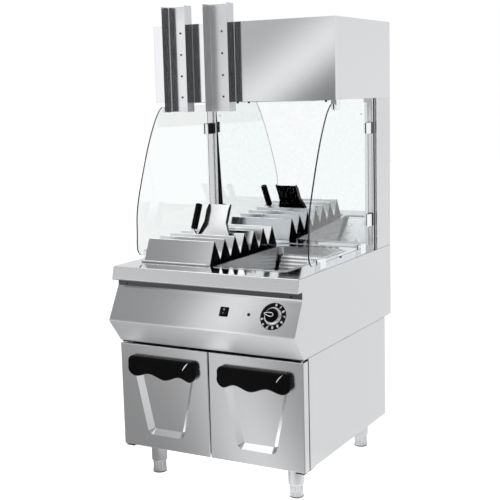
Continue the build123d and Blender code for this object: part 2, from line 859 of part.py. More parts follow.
def dispenser(x):
    """Carton dispenser: a long U-channel on the hood's front."""
    w, d = dispenser_width / 2, dispenser_depth
    front = hood_front - d
    points = [(x - w, front), (x - w, hood_front), (x + w, hood_front), (x + w, front)]
    points.reverse()
    z0, z1 = dispenser_z
    channel = folded(points, Plane.XY.offset(z0), z1 - z0, radius=2.5)
    for z in dispenser_holes:
        channel -= rod((x, front, z), (x, hood_front + 1, z), screw_diameter)
    return channel


def dispenser_screw(x, z):
    """Pan-head screw through the dispenser's web."""
    y = hood_front - skin
    head = fillet(rod((x, y, z), (x, y - 2.5, z), 9).edges().sort_by(Axis.Y)[0], 1.6)
    return head + rod((x, y, z), (x, hood_front, z), screw_diameter)


# Pan, rack and scoop


def pan():
    """Deep-drawn pan with tapered walls and a flat rim."""
    x, y = pan_centre()
    w, d = pan_size[0] - 2 * pan_rim, pan_size[1] - 2 * pan_rim
    outer = extrude(RectangleRounded(w, d, 22), amount=-pan_depth, taper=pan_taper)
    outer = fillet(outer.faces().sort_by(Axis.Z)[0].edges(), 12)
    inner = extrude(RectangleRounded(w - 2 * skin, d - 2 * skin, 22 - skin),
                    amount=-(pan_depth - skin), taper=pan_taper)
    inner = fillet(inner.faces().sort_by(Axis.Z)[0].edges(), 12 - skin)
    rim = extrude(RectangleRounded(pan_size[0], pan_size[1], 30), amount=skin)
    mouth = extrude(RectangleRounded(w - 2 * skin, d - 2 * skin, 22 - skin), amount=skin)
    return Pos(x, y, worktop_height + gap) * (outer + rim - inner - mouth)


def pan_insert():
    """Perforated sheet with a sloping front, resting on the pan's floor."""
    x, y = pan_centre()
    drop = pan_depth - skin
    pinch = drop * math.tan(math.radians(pan_taper))
    w = pan_size[0] - 2 * pan_rim - 2 * skin - 2 * pinch - 12
    top = worktop_height + gap
    y0 = pan_front + pan_rim + skin + 6
    y1 = pan_front + pan_size[1] - pan_rim - skin - 6
    floor = top - drop + 24
    points = [(y0, top - 8), (y0 + 150, floor), (y1 - 60, floor), (y1, top - 30)]
    sheet = folded(points, across(x - w / 2), w, radius=8)
    for i in range(5):
        px = x - w / 2 + w * (i + 0.5) / 5
        for j in range(6):
            py = y0 + 190 + j * (y1 - y0 - 290) / 5
            sheet -= rod((px, py, floor - 6), (px, py, floor + 6), 9)
    for i in range(5):
        px = x - w / 2 + w * (i + 0.5) / 5
        for j in range(3):
            py = y0 + 40 + 36 * j
            sheet -= rod((px, py, floor - 12), (px, py, top + 6), 9)
    feet_low = top - drop + gap
    rails = [block((x + s - 1, x + s + 1), (y0 + 170, y1 - 90), (feet_low, floor + 0.4))
             for s in (-w / 2 + 12, w / 2 - 12)]
    return sheet + rails[0] + rails[1]


def rack_points():
    """Zigzag of the carton rack as (Y, Z) points."""
    base = worktop_height + gap
    points = [(rack_front, base)]
    first = rack_front + rack_foot_run
    for i in range(rack_peaks):
        y = first + rack_pitch * i
        points.append((y, base + rack_peak))
        if i < rack_peaks - 1:
            points.append((y + rack_pitch / 2, base + rack_valley))
    points.append((first + rack_pitch * (rack_peaks - 1) + rack_foot_run, base))
    return points


def carton_rack():
    """Rack bent to a zigzag from one sheet."""
    return folded(rack_points(), across(-half + rack_left), rack_width, radius=2.5)


def rack_rod():
    """Rod along the rack's front foot with an eye and two lugs."""
    left = -half + rack_left - 5
    base = worktop_height + gap
    y, z = rack_front - 13, base + rod_diameter / 2
    bar = rod((left, y, z), (left + rack_width + 2, y, z), rod_diameter)
    eye = Pos(left + rack_width + 2, y, z) * Rot(0, 0, 0) * Cylinder(8, 5)
    eye -= Pos(left + rack_width + 2, y, z) * Cylinder(3, 10)
    lugs = [block((left + s, left + s + 14), (y, rack_front - 1.1 * skin), (base, base + 2.5))
            for s in (60, 225)]
    return bar - Pos(left + rack_width + 2, y, z) * Cylinder(5.5, 12) + eye + lugs[0] + lugs[1]


def scoop_plane():
    """Plane of the scoop's blade: Y up the blade, Z to the front."""
    a = math.radians(scoop_lean)
    return Plane((scoop_x, scoop_y, scoop_z), x_dir=(1, 0, 0), z_dir=(0, -math.cos(a), math.sin(a)))


def scoop_outline(inset, stretch):
    """Blade outline with its sides moved in and its ends pushed out."""
    right = [(x - inset, y) for x, y in scoop_shape]
    right[0] = (right[0][0], right[0][1] + stretch)
    slant = (scoop_shape[-1][0] - scoop_shape[-2][0]) / (scoop_shape[-2][1] - scoop_shape[-1][1])
    right[-1] = (right[-1][0] + slant * stretch, right[-1][1] - stretch)
    left = [(-x, y) for x, y in reversed(right)]
    return make_face(Polyline(*right, *left, close=True))


def scoop_blade():
    """Scoop folded from sheet: a chute that flares to its mouth, and a stem."""
    place = scoop_plane()
    body = extrude(place * scoop_outline(0, 0), amount=scoop_wall)
    body -= extrude(place.offset(scoop_sheet) * scoop_outline(scoop_sheet, 30), amount=60)
    low = scoop_shape[-1][1]
    wedge = make_face(Polyline((-80, scoop_wall + 1), (low - 5, 3), (low - 5, 60), (-80, 60),
                               close=True))
    side = Plane(place.origin - place.x_dir * 150, x_dir=place.y_dir, z_dir=place.x_dir)
    body -= extrude(side * wedge, amount=300)
    top = make_face(Polyline((-24, scoop_wall + 1), (6, 9), (6, 60), (-24, 60), close=True))
    body -= extrude(side * top, amount=300)
    hx, hz = handle_offset
    points = [(hx, handle_span[0], hz), (hx, handle_span[0] - 8, hz), (-84, -140, -3.2)]
    path = FilletPolyline(*[place.from_local_coords(Vector(*p)) for p in points], radius=5)
    start = Plane(place.from_local_coords(Vector(*points[0])), z_dir=-place.y_dir)
    stem = sweep(start * Circle(3), path=path.wire())
    foot = place.from_local_coords(Vector(-79, -142, -3.2))
    joint = place.from_local_coords(Vector(-84, -140, -3.2))
    return body + stem + rod(joint, foot, 6) + extrude(
        place.offset(0) * Pos(-74, -142) * Rectangle(22, 12), amount=-4)


def scoop_handle():
    """Round black handle with domed ends beside the chute."""
    place = scoop_plane()
    x, z = handle_offset
    low, high = handle_span
    start = place.from_local_coords(Vector(x, low, z))
    end = place.from_local_coords(Vector(x, high, z))
    bar = rod(start, end, handle_diameter)
    return fillet(bar.edges().filter_by(GeomType.CIRCLE), 4)


def both(make, *args):
    """A part and its twin on the other side."""
    part = make(*args)
    return [part, other_side(part)]


def pair(parts, name, make, *args):
    """Add a right part and its left twin as two parts."""
    right = make(*args)
    parts[name + "_right"] = [right]
    parts[name + "_left"] = [other_side(right)]


def cabinet_parts(parts):
    """Cabinet, doors and feet."""
    parts["cabinet_sides"] = both(cabinet_side)
    parts["cabinet_back"] = [cabinet_back_sheet()]
    parts["cabinet_floor"] = [cabinet_floor()]
    parts["cabinet_top"] = [cabinet_top()]
    parts["front_rail"] = [front_rail()]
    parts["door_catches"] = both(door_catch, catch_in)
    parts["hinge_brackets"] = both(hinge_bracket_top) + both(hinge_bracket_low)
    parts["cable_gland"] = [cable_gland()]
    parts["leg_sleeves"] = [leg_sleeve(x, y) for x, y in feet()]
    for name, make in (("door_skin", door_skin), ("door_liner", door_liner),
                       ("door_gasket", door_gasket), ("door_grip", door_grip)):
        pair(parts, name, make)
    pins = hinge_pins()
    parts["hinge_pins"] = pins + [other_side(pin) for pin in pins]
    for (x, y), where in zip(feet(), ("front_left", "front_right", "back_left", "back_right")):
        parts["foot_" + where] = [screw_foot(x, y)]


def casing_parts(parts):
    """Upper casing, worktop, well and controls."""
    sheets = [worktop(), control_panel(), recess_strip()]
    parts["worktop"], parts["control_panel"], parts["recess_strip"] = [[s] for s in sheets]
    end = casing_end(sheets)
    parts["casing_ends"] = [end, other_side(end)]
    parts["casing_back"] = [casing_back()]
    parts["casing_floor"] = [casing_floor()]
    parts["well_tank"] = [well_tank()]
    parts["well_heater"] = [well_heater()]
    parts["thermostat"] = [thermostat()]
    parts["dial_plate"] = [dial_plate()]
    parts["knob"] = [knob()]
    parts["knob_ring"] = [knob_ring()]
    parts["switch_bezel"] = [switch_bezel()]
    parts["switch_rocker"] = [rocker()]
    parts["pilot_light"] = [pilot_light()]


def glass_parts(parts):
    """Posts, back panel, side glasses and their clamps."""
    parts["posts"] = both(post)
    parts["post_backs"] = both(post_back)
    parts["back_panel"] = [back_panel()]
    pair(parts, "side_glass", side_glass)
    clips = [c for ys in worktop_clip_y for c in both(worktop_clip, ys)]
    clips += [c for zs in post_clip_z for c in both(post_clip, zs)]
    parts["glass_clips"] = clips + both(hood_clip)
    low = [p for ys in worktop_clip_y
           for p in pads((ys[0] + 2, ys[1] - 2), (glass_bottom, worktop_clip_top - 6))]
    back = [p for zs in post_clip_z
            for p in pads((glass_back - 20, glass_back), (zs[0] + 2, zs[1] - 2))]
    high = pads((hood_clip_y[0] + 2, hood_clip_y[1] - 2), (glass_top - 20, glass_top))
    every = low + back + high
    parts["clip_pads"] = every + [other_side(p) for p in every]


def hood_parts(parts):
    """Hood with its heater, and the carton dispensers."""
    parts["hood_shell"] = [hood_shell()]
    parts["hood_base"] = [hood_base()]
    parts["hood_back"] = [hood_back()]
    parts["heater_reflector"] = [heater_reflector()]
    y = sum(heater_opening()[1]) / 2
    parts["quartz_heaters"] = [quartz_heater(y + s * heater_spacing / 2) for s in (-1, 1)]
    parts["heater_guard"] = [heater_guard()]
    parts["hood_studs"] = both(hood_stud, stud_middle) + both(hood_stud, half - stud_in)
    parts["dispensers"] = [dispenser(x) for x in dispenser_x]
    screws = [dispenser_screw(x, z) for x in dispenser_x for z in dispenser_holes]
    screws += [s for z in panel_screw_z for s in both(panel_screw, panel_screw_x, z)]
    screws += both(recess_screw, half - 45)
    parts["screws"] = screws + [stud_nut(x, y) for x, y in feet()]


def loose_parts(parts):
    """Pan, insert, carton rack and scoop."""
    parts["pan"] = [pan()]
    parts["pan_insert"] = [pan_insert()]
    parts["carton_rack"] = [carton_rack()]
    parts["rack_rod"] = [rack_rod()]
    parts["scoop_blade"] = [scoop_blade()]
    parts["scoop_handle"] = [scoop_handle()]


def build():
    """Make and write every part."""
    parts = {}
    cabinet_parts(parts)
    casing_parts(parts)
    glass_parts(parts)
    hood_parts(parts)
    loose_parts(parts)
    front = parts["control_panel"][0].bounding_box().min.Y
    middle = (worktop_depth + front) / 2
    for name, made in parts.items():
        save(name, made, middle)


if __name__ == "__main__":
    build()
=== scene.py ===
import json
import logging
import math
from dataclasses import dataclass
from enum import Enum
from functools import reduce
from typing import Iterable, Sequence

import bpy
import numpy as np
from mathutils import Matrix, Vector


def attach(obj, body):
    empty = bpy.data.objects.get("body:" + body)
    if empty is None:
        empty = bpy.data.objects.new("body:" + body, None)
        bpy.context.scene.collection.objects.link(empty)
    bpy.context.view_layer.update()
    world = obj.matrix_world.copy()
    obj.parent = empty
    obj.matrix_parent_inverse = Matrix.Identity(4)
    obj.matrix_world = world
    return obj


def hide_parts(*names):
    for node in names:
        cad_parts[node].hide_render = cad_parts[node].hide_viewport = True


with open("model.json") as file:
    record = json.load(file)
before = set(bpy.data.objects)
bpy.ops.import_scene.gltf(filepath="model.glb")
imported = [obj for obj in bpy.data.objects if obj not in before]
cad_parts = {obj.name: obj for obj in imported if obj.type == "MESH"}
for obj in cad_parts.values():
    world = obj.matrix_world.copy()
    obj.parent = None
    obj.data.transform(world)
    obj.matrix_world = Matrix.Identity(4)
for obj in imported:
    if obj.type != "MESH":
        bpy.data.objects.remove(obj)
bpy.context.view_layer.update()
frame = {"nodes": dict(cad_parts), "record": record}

log = logging.getLogger("fry_warmer")

Point = tuple[float, float, float]
Colour = tuple[float, float, float]
Range = tuple[float, float]
Shape = tuple[np.ndarray, list[list[int]]]
Materials = dict[str, bpy.types.Material]
Socket = bpy.types.NodeSocket

X_AXIS: Point = (1.0, 0.0, 0.0)
Y_AXIS: Point = (0.0, 1.0, 0.0)
Z_AXIS: Point = (0.0, 0.0, 1.0)
SIDES = {"left": -1, "right": 1}

UNIT: Range = (0.0, 1.0)
# Normals along Z of a face that looks down and of a nearly upright one.
DOWNWARD: Range = (-0.6, -0.2)
# Noise cells in each metre along a brushed line and across it.
LONG, FINE = 14.0, 2600.0

STEEL: Colour = (0.66, 0.665, 0.675)
WHITE: Colour = (1.0, 1.0, 1.0)
COOL_WHITE: Colour = (0.985, 0.99, 1.0)


# Materials


class Grain(Enum):
    """How a steel sheet was finished."""

    ACROSS = "brushed across"
    NONE = "polished"


class NodeSketch:
    """Short way to add the nodes of a material or a world."""

    def __init__(self, owner: bpy.types.ID, output: str, space: str) -> None:
        """Start a tree with only its output and its coordinates.

        Args:
            owner: the material or the world.
            output: the type of its output node.
            space: the coordinates that its patterns follow.
        """
        owner.use_nodes = True
        self.tree = owner.node_tree
        self.tree.nodes.clear()
        self.surface = self.tree.nodes.new(output).inputs["Surface"]
        self.spot = self.add("ShaderNodeTexCoord", out=space)

    def feed(self, end: Socket, value: object) -> None:
        """Join a socket to an input, or set the input.

        Args:
            end: the input.
            value: a socket, a number, a vector or a colour.
        """
        if isinstance(value, Socket):
            self.tree.links.new(value, end)
        else:
            end.default_value = (*value, 1.0) if end.type == "RGBA" else value

    def add(self, kind: str, inputs: dict[int | str, object] | None = None,
            out: int | str = 0, **settings: object) -> Socket:
        """Add one node.

        Args:
            kind: the node's Blender type.
            inputs: what its inputs take, by their numbers or names.
            out: number or name of the output that is wanted.
            settings: its properties by name.

        Returns:
            The output.
        """
        node = self.tree.nodes.new(kind)
        for key, value in settings.items():
            setattr(node, key, value)
        for key, value in (inputs or {}).items():
            self.feed(node.inputs[key], value)
        return node.outputs[out]

    def show(self, shader: Socket) -> None:
        """Take a shader as the whole surface."""
        self.feed(self.surface, shader)

    def noise(self, cells: float | Point, detail: float = 3.0, rough: float = 0.6) -> Socket:
        """Noise on the tree's coordinates.

        Args:
            cells: cells in each metre, one number or one for each of X, Y and Z.
            detail: octaves of the noise.
            rough: weight of the finer octaves.

        Returns:
            The noise value's socket.
        """
        scale = cells if isinstance(cells, tuple) else (cells,) * 3
        spot = self.add("ShaderNodeMapping", {"Vector": self.spot, "Scale": scale})
        return self.add("ShaderNodeTexNoise", {"Vector": spot, "Scale": 1.0, "Detail": detail,
                                               "Roughness": rough}, out="Fac")

    def lines(self, cells: Point) -> Socket:
        """Fine lines of a brushed sheet, with so many cells in each metre."""
        return self.noise(cells, detail=2.0, rough=0.5)

    def span(self, value: Socket, low: float, high: float, source: Range = (0.3, 0.7)) -> Socket:
        """Value mapped and clamped from a source range, by default a noise's, to low to high."""
        return self.add("ShaderNodeMapRange", {
            "Value": value, "From Min": source[0], "From Max": source[1], "To Min": low,
            "To Max": high}, out="Result")

    def calc(self, kind: str, *values: float | Socket) -> Socket:
        """Result of one Math node on sockets or numbers."""
        return self.add("ShaderNodeMath", dict(enumerate(values)), operation=kind)

    def times(self, *values: float | Socket) -> Socket:
        """Product of sockets and numbers."""
        return reduce(lambda a, b: self.calc("MULTIPLY", a, b), values)

    def plus(self, *values: float | Socket) -> Socket:
        """Sum of sockets and numbers."""
        return reduce(lambda a, b: self.calc("ADD", a, b), values)

    def normal_along(self, axis: str) -> Socket:
        """The surface's own normal along an axis, from -1 to 1."""
        normal = self.add("ShaderNodeTexCoord", out="Normal")
        return self.add("ShaderNodeSeparateXYZ", {0: normal}, out=axis)

    def facing(self, axis: str, limit: float = 0.7) -> Socket:
        """1 where the surface faces along an axis, by its own normal."""
        return self.calc("GREATER_THAN", self.calc("ABSOLUTE", self.normal_along(axis)), limit)

    def along(self, direction: Point) -> Socket:
        """Distance of the coordinates along a direction, times its length."""
        return self.add("ShaderNodeVectorMath", {0: self.spot, 1: direction}, out="Value",
                        operation="DOT_PRODUCT")

    def bell(self, value: Socket, middle: float, width: float) -> Socket:
        """Bell curve exp(-((v - middle) / width)^2) of a value."""
        off = self.calc("DIVIDE", self.calc("SUBTRACT", value, middle), width)
        return self.calc("EXPONENT", self.times(off, off, -1.0))

    def choose(self, mask: Socket, no: Socket, yes: Socket) -> Socket:
        """Number from one of two sockets, by a mask of 0 or 1."""
        return self.add("ShaderNodeMix", {0: mask, 2: no, 3: yes}, data_type="FLOAT")

    def blend(self, value: Socket, first: Colour | Socket, second: Colour | Socket) -> Socket:
        """Colour between the first, at a value of 0, and the second, at 1."""
        return self.add("ShaderNodeMix", {0: value, 6: first, 7: second}, out=2,
                        data_type="RGBA")

    def layer(self, mask: Socket, first: Socket, second: Socket) -> Socket:
        """Shader between the first, at a mask of 0, and the second, at 1."""
        return self.add("ShaderNodeMixShader", {0: mask, 1: first, 2: second})

    def glow(self, level: float | Socket, colour: Colour = WHITE) -> Socket:
        """Emission of a level and a colour."""
        return self.add("ShaderNodeEmission", {"Color": colour, "Strength": level})

    def ray(self, value: str) -> Socket:
        """What the Light Path node says of the ray, by its output's name."""
        return self.add("ShaderNodeLightPath", out=value)

    def seen(self) -> Socket:
        """1 for a ray of the camera, also where it has passed through glass."""
        return self.calc("MAXIMUM", self.ray("Is Camera Ray"), self.ray("Is Transmission Ray"))


class MaterialSketch(NodeSketch):
    """Nodes of one material on Object coordinates, round a Principled shader."""

    def __init__(self, name: str) -> None:
        """Start a material.

        Args:
            name: the material's name.
        """
        self.material = bpy.data.materials.new(name)
        super().__init__(self.material, "ShaderNodeOutputMaterial", "Object")
        self.shader = self.add("ShaderNodeBsdfPrincipled")
        self.show(self.shader)

    def shade(self, inputs: dict[str, object]) -> None:
        """Feed inputs of the Principled shader, by their names."""
        for key, value in inputs.items():
            self.feed(self.shader.node.inputs[key], value)

    def metal(self, colour: Socket, rough: Socket, normal: Socket) -> None:
        """Shade the surface as a metal."""
        self.shade({"Metallic": 1.0, "Base Color": colour, "Roughness": rough,
                    "Normal": normal})

    def bump(self, height: Socket, strength: float, depth: float) -> Socket:
        """Normal of a surface raised by a height, with its depth in metres."""
        return self.add("ShaderNodeBump", {"Height": height, "Strength": strength,
                                           "Distance": depth})


def shaded(colour: Colour, factor: float, lift: float = 0.0) -> Colour:
    """A colour times a factor, plus a lift, 1 at most."""
    return tuple(min(1.0, c * factor + lift) for c in colour)


@dataclass(frozen=True)
class Finish:
    """Finish of a surface, by name."""

    name: str

    def make(self) -> bpy.types.Material:
        """Make the finish as a material.

        Returns:
            The material.
        """
        sketch = MaterialSketch(self.name)
        self.draw(sketch)
        return sketch.material

    def draw(self, sketch: MaterialSketch) -> None:
        """Add the finish's nodes to those of its material."""
        raise NotImplementedError


@dataclass(frozen=True)
class SteelFinish(Finish):
    """Stainless steel sheet, brushed or polished."""

    colour: Colour
    rough: Range = (0.19, 0.23)
    grain: Grain = Grain.ACROSS
    grain_depth: float = 0.000003

    def draw(self, sketch: MaterialSketch) -> None:
        """Steel whose roughness and height follow fine brushed lines.

        Args:
            sketch: its nodes.
        """
        smudge = sketch.noise(5.0, detail=4.0)
        if self.grain is Grain.NONE:
            lines = sketch.noise(60.0)
        else:
            lines = sketch.choose(sketch.facing("X"), sketch.lines((LONG, FINE, FINE)),
                                  sketch.lines((FINE, LONG, FINE)))
            sketch.shade({"Normal": sketch.bump(lines, strength=0.25, depth=self.grain_depth)})
        colour = sketch.blend(sketch.span(lines, *UNIT), shaded(self.colour, 0.975),
                              shaded(self.colour, 1.025))
        rough = sketch.times(sketch.span(smudge, 0.94, 1.06), sketch.span(lines, *self.rough))
        sketch.shade({"Metallic": 1.0, "Base Color": colour, "Roughness": rough})


@dataclass(frozen=True)
class WorktopFinish(Finish):
    """Worktop sheet: a polished top, a brushed lip made paler by painted highlight, and ends and
    underside darkened by painted shade.
    """

    colour: Colour = STEEL
    # Paler colour of the front lip: painted highlight.
    lip: Colour = (0.80, 0.806, 0.816)
    # Near-black colour of the ends and underside: painted shade.
    edge: Colour = (0.05, 0.05, 0.052)
    top_rough: Range = (0.05, 0.10)
    lip_rough: Range = (0.26, 0.32)
    # Normals along Z over which the lip's painted highlight gives way to the top's colour.
    turn_down: Range = (0.2, 0.9)
    # Share of the painted shade on faces that look down.
    below: float = 0.45

    def draw(self, sketch: MaterialSketch) -> None:
        """Steel whose gloss depends on which way the sheet faces, and whose colour carries painted
        light: a paler lip and darker ends and underside.

        Args:
            sketch: its nodes.
        """
        lines = sketch.lines((LONG, FINE, FINE))
        smudge = sketch.noise(6.0, detail=4.0)
        upward = sketch.normal_along("Z")
        # Painted highlight: nearly upright faces, such as the lip, take the paler colour.
        plain = sketch.blend(sketch.span(upward, *UNIT, self.turn_down), self.lip, self.colour)
        # Painted shade: the ends, and in part the faces that look down, take the near-black
        # colour.
        dark = sketch.calc("MAXIMUM", sketch.facing("X", 0.9),
                           sketch.span(upward, self.below, 0.0, DOWNWARD))
        rough = sketch.choose(sketch.facing("Z", 0.9), sketch.span(lines, *self.lip_rough),
                              sketch.span(smudge, *self.top_rough))
        sketch.metal(sketch.blend(dark, plain, self.edge), rough,
                     sketch.bump(lines, strength=0.05, depth=0.000006))


@dataclass(frozen=True)
class PanelFinish(Finish):
    """Brushed steel, duller where it faces down, with painted highlight that makes it paler where
    it faces down and along the bend.
    """

    colour: Colour = STEEL
    # Paler colour where the sheet faces down and along the bend: painted highlight.
    under: Colour = (0.97, 0.975, 0.985)
    rough: Range = (0.19, 0.60)
    # Height and width of the painted highlight along the bend.
    bend_height: float = 0.6546
    bend_width: float = 0.004

    def draw(self, sketch: MaterialSketch) -> None:
        """Steel whose roughness depends on which way the sheet faces, and whose colour carries
        painted highlight where it faces down and along the bend.

        Args:
            sketch: its nodes.
        """
        lines = sketch.lines((LONG, FINE, FINE))
        upward = sketch.normal_along("Z")
        rough = sketch.times(sketch.span(upward, *self.rough[::-1], DOWNWARD),
                             sketch.span(lines, 0.93, 1.07))
        # Painted highlight along the bend between the two slopes.
        bend = sketch.bell(sketch.along(Z_AXIS), self.bend_height, self.bend_width)
        # Painted highlight: faces that look down, and the bend, take the paler colour.
        plain = sketch.calc("SUBTRACT", sketch.span(upward, *UNIT, DOWNWARD), bend)
        sketch.metal(sketch.blend(plain, self.under, self.colour), rough,
                     sketch.bump(lines, strength=0.25, depth=0.000003))


@dataclass(frozen=True)
class ChannelFinish(Finish):
    """Polished channel steel, duller inside the right one of two channels."""

    colour: Colour = (0.64, 0.645, 0.655)
    rough: Range = (0.15, 0.34)
    dull: Range = (-0.140, -0.030)
    cells: Point = (900.0, 900.0, 5.0)

    def draw(self, sketch: MaterialSketch) -> None:
        """Steel with an upright grain whose roughness changes across.

        Args:
            sketch: its nodes.
        """
        lines = sketch.lines(self.cells)
        across = sketch.along(X_AXIS)
        inside = sketch.times(sketch.calc("GREATER_THAN", across, self.dull[0]),
                              sketch.calc("LESS_THAN", across, self.dull[1]))
        colour = sketch.blend(sketch.span(lines, *UNIT), shaded(self.colour, 0.93), self.colour)
        rough = sketch.times(sketch.span(inside, *self.rough, UNIT),
                             sketch.span(lines, 0.85, 1.15))
        sketch.metal(colour, rough, sketch.bump(lines, strength=0.15, depth=0.000004))


@dataclass(frozen=True)
class KnurledFinish(Finish):
    """Steel foot with a fine knurl, darkened by painted shade in the knurl's hollows and where it
    meets the floor.
    """

    colour: Colour = (0.84, 0.845, 0.855)
    # Near-black colour of the painted shade.
    dark: Colour = (0.06, 0.06, 0.062)
    pitch: float = 0.0026
    # Height under which the foot takes painted shade where it meets the floor.
    ring: float = 0.004

    def draw(self, sketch: MaterialSketch) -> None:
        """Steel whose height follows a crossed pattern, and whose tone is darkened by painted
        shade in the pattern's hollows and near the floor.

        The height is sin(k (x + y + z)) sin(k (x + y - z)) / 2 with k = 2 pi / pitch,
        and a fine wear.

        Args:
            sketch: its nodes.
        """
        k = 2.0 * math.pi / self.pitch
        first = sketch.calc("SINE", sketch.along((k, k, k)))
        second = sketch.calc("SINE", sketch.along((k, k, -k)))
        wear = sketch.noise(260.0, detail=2.0)
        height = sketch.plus(sketch.times(first, second, 0.5), wear)
        # Painted shade: darker in the knurl's hollows and at the foot's bottom; the wear adds a
        # random tone.
        tone = sketch.times(sketch.span(height, 0.4, 1.0, UNIT),
                            sketch.span(sketch.along(Z_AXIS), *UNIT,
                                        (self.ring, self.ring * 1.5)))
        sketch.metal(sketch.blend(tone, self.dark, self.colour), sketch.span(wear, 0.26, 0.38),
                     sketch.bump(height, strength=0.5, depth=0.0003))


@dataclass(frozen=True)
class ScoopFinish(Finish):
    """Bright blade steel, darkened by painted shade on its folded sides and its back."""

    colour: Colour = (0.80, 0.805, 0.815)
    # Near-black colour of the painted shade.
    dark: Colour = (0.016, 0.016, 0.017)

    def draw(self, sketch: MaterialSketch) -> None:
        """Steel darkened by painted shade where it faces sideways or to the back.

        Args:
            sketch: its nodes.
        """
        lines = sketch.lines((FINE, LONG, LONG))
        # Painted shade: faces that look to the back or sideways take the near-black colour.
        behind = sketch.calc("GREATER_THAN", sketch.normal_along("Y"), 0.3)
        mask = sketch.calc("MAXIMUM", behind, sketch.facing("X", 0.6))
        sketch.metal(sketch.blend(mask, self.colour, self.dark), sketch.span(lines, 0.16, 0.24),
                     sketch.bump(lines, strength=0.2, depth=0.000004))


@dataclass(frozen=True)
class PerforatedFinish(Finish):
    """Steel sheet with a staggered field of small round holes."""

    colour: Colour = (0.68, 0.685, 0.695)
    dark: Colour = (0.03, 0.03, 0.032)
    pitch: float = 0.010
    row_share: float = 0.866
    hole: float = 0.0033

    def draw(self, sketch: MaterialSketch) -> None:
        """Dark dots on a triangular grid in X and Y.

        With u = x / p and v = y / (0.866 p), each row shifts by half a pitch, and a
        point is in a hole where its distance from the nearest grid point is under r.

        Args:
            sketch: its nodes.
        """
        calc, step = sketch.calc, self.pitch * self.row_share
        v = calc("DIVIDE", sketch.along(Y_AXIS), step)
        shift = sketch.times(calc("PINGPONG", calc("FLOOR", v), 1.0), 0.5)
        u = sketch.plus(calc("DIVIDE", sketch.along(X_AXIS), self.pitch), shift)
        du, dv = (sketch.times(calc("SUBTRACT", calc("FRACT", value), 0.5), size)
                  for value, size in ((u, self.pitch), (v, step)))
        far = calc("SQRT", sketch.plus(sketch.times(du, du), sketch.times(dv, dv)))
        solid = sketch.span(far, *UNIT, (self.hole * 0.9, self.hole * 1.1))
        wear = sketch.noise(9.0, detail=4.0)
        sketch.metal(sketch.blend(solid, self.dark, self.colour), sketch.span(wear, 0.18, 0.3),
                     sketch.bump(solid, strength=0.5, depth=0.0006))


@dataclass(frozen=True)
class MouldedFinish(Finish):
    """Moulded plastic, rubber, lens or print with a fine skin."""

    colour: Colour
    rough: Range = (0.35, 0.45)
    shine: float = 0.5

    def draw(self, sketch: MaterialSketch) -> None:
        """Plastic whose colour and roughness vary with a fine skin.

        Args:
            sketch: its nodes.
        """
        wear = sketch.noise(14.0, detail=4.0)
        skin_lines = sketch.noise(900.0, detail=2.0)
        light = shaded(self.colour, 1.12, lift=0.001)
        sketch.shade({
            "Base Color": sketch.blend(sketch.span(wear, *UNIT), self.colour, light),
            "Roughness": sketch.span(wear, *self.rough),
            "Specular IOR Level": self.shine,
            "Normal": sketch.bump(skin_lines, strength=0.3, depth=0.00004)})


@dataclass(frozen=True)
class GlassFinish(Finish):
    """Clear safety glass whose ground edges are painted near-black, a painted reflection in place
    of the dark look of real glass edges.
    """

    tint: Colour = (0.96, 0.985, 0.98)
    # Near-black colour of the edges: painted reflection.
    edge: Colour = (0.012, 0.016, 0.016)
    index: float = 1.45

    def draw(self, sketch: MaterialSketch) -> None:
        """Clear faces and near-black edges of painted reflection, parted by the surface's own
        normal.

        Args:
            sketch: its nodes.
        """
        sketch.shade({"Base Color": self.tint, "Transmission Weight": 1.0, "IOR": self.index,
                      "Roughness": sketch.span(sketch.noise(8.0), 0.0, 0.012)})
        # Painted reflection: an opaque near-black shader on the edges.
        edge = sketch.add("ShaderNodeBsdfPrincipled", {"Base Color": self.edge,
                                                       "Roughness": 0.25})
        clear = sketch.add("ShaderNodeBsdfTransparent")
        faces = sketch.layer(sketch.facing("X", 0.6), edge, sketch.shader)
        sketch.show(sketch.layer(sketch.ray("Is Shadow Ray"), faces, clear))


FINISHES: tuple[Finish, ...] = (
    SteelFinish("brushed_steel", STEEL),
    # Near-black steel of the strip under the worktop's lip: painted shade of the recess.
    SteelFinish("strip_steel", (0.085, 0.086, 0.088), (0.22, 0.28)),
    SteelFinish("hood_steel", (0.70, 0.705, 0.715), (0.10, 0.15), grain_depth=0.000004),
    SteelFinish("dark_steel", (0.055, 0.055, 0.058), (0.14, 0.2)),
    SteelFinish("mirror_steel", (0.93, 0.95, 0.965), (0.015, 0.03), Grain.NONE),
    SteelFinish("bright_steel", (0.72, 0.725, 0.735), (0.12, 0.2), Grain.NONE),
    SteelFinish("chrome", (0.86, 0.865, 0.875), (0.04, 0.08), Grain.NONE),
    GlassFinish("side_glass"),
    MouldedFinish("black_grip", (0.0025, 0.0025, 0.003), (0.2, 0.3), shine=0.06),
    MouldedFinish("black_plastic", (0.004, 0.004, 0.0045), shine=0.08),
    MouldedFinish("dial_print", (0.003, 0.003, 0.0035), shine=0.12),
    MouldedFinish("soft_seal", (0.006, 0.006, 0.006), (0.6, 0.75), shine=0.15),
    MouldedFinish("red_lens", (0.07, 0.002, 0.002), (0.12, 0.2), shine=0.3),
    WorktopFinish("worktop_sheet"),
    PerforatedFinish("insert_sheet"),
    ScoopFinish("scoop_steel"),
    KnurledFinish("foot_steel"),
    PanelFinish("panel_steel"),
    ChannelFinish("channel_steel"),
    MouldedFinish("quartz", (0.75, 0.74, 0.72), (0.15, 0.25)),
    MouldedFinish("print_white", (0.80, 0.80, 0.80), (0.5, 0.6)),
)

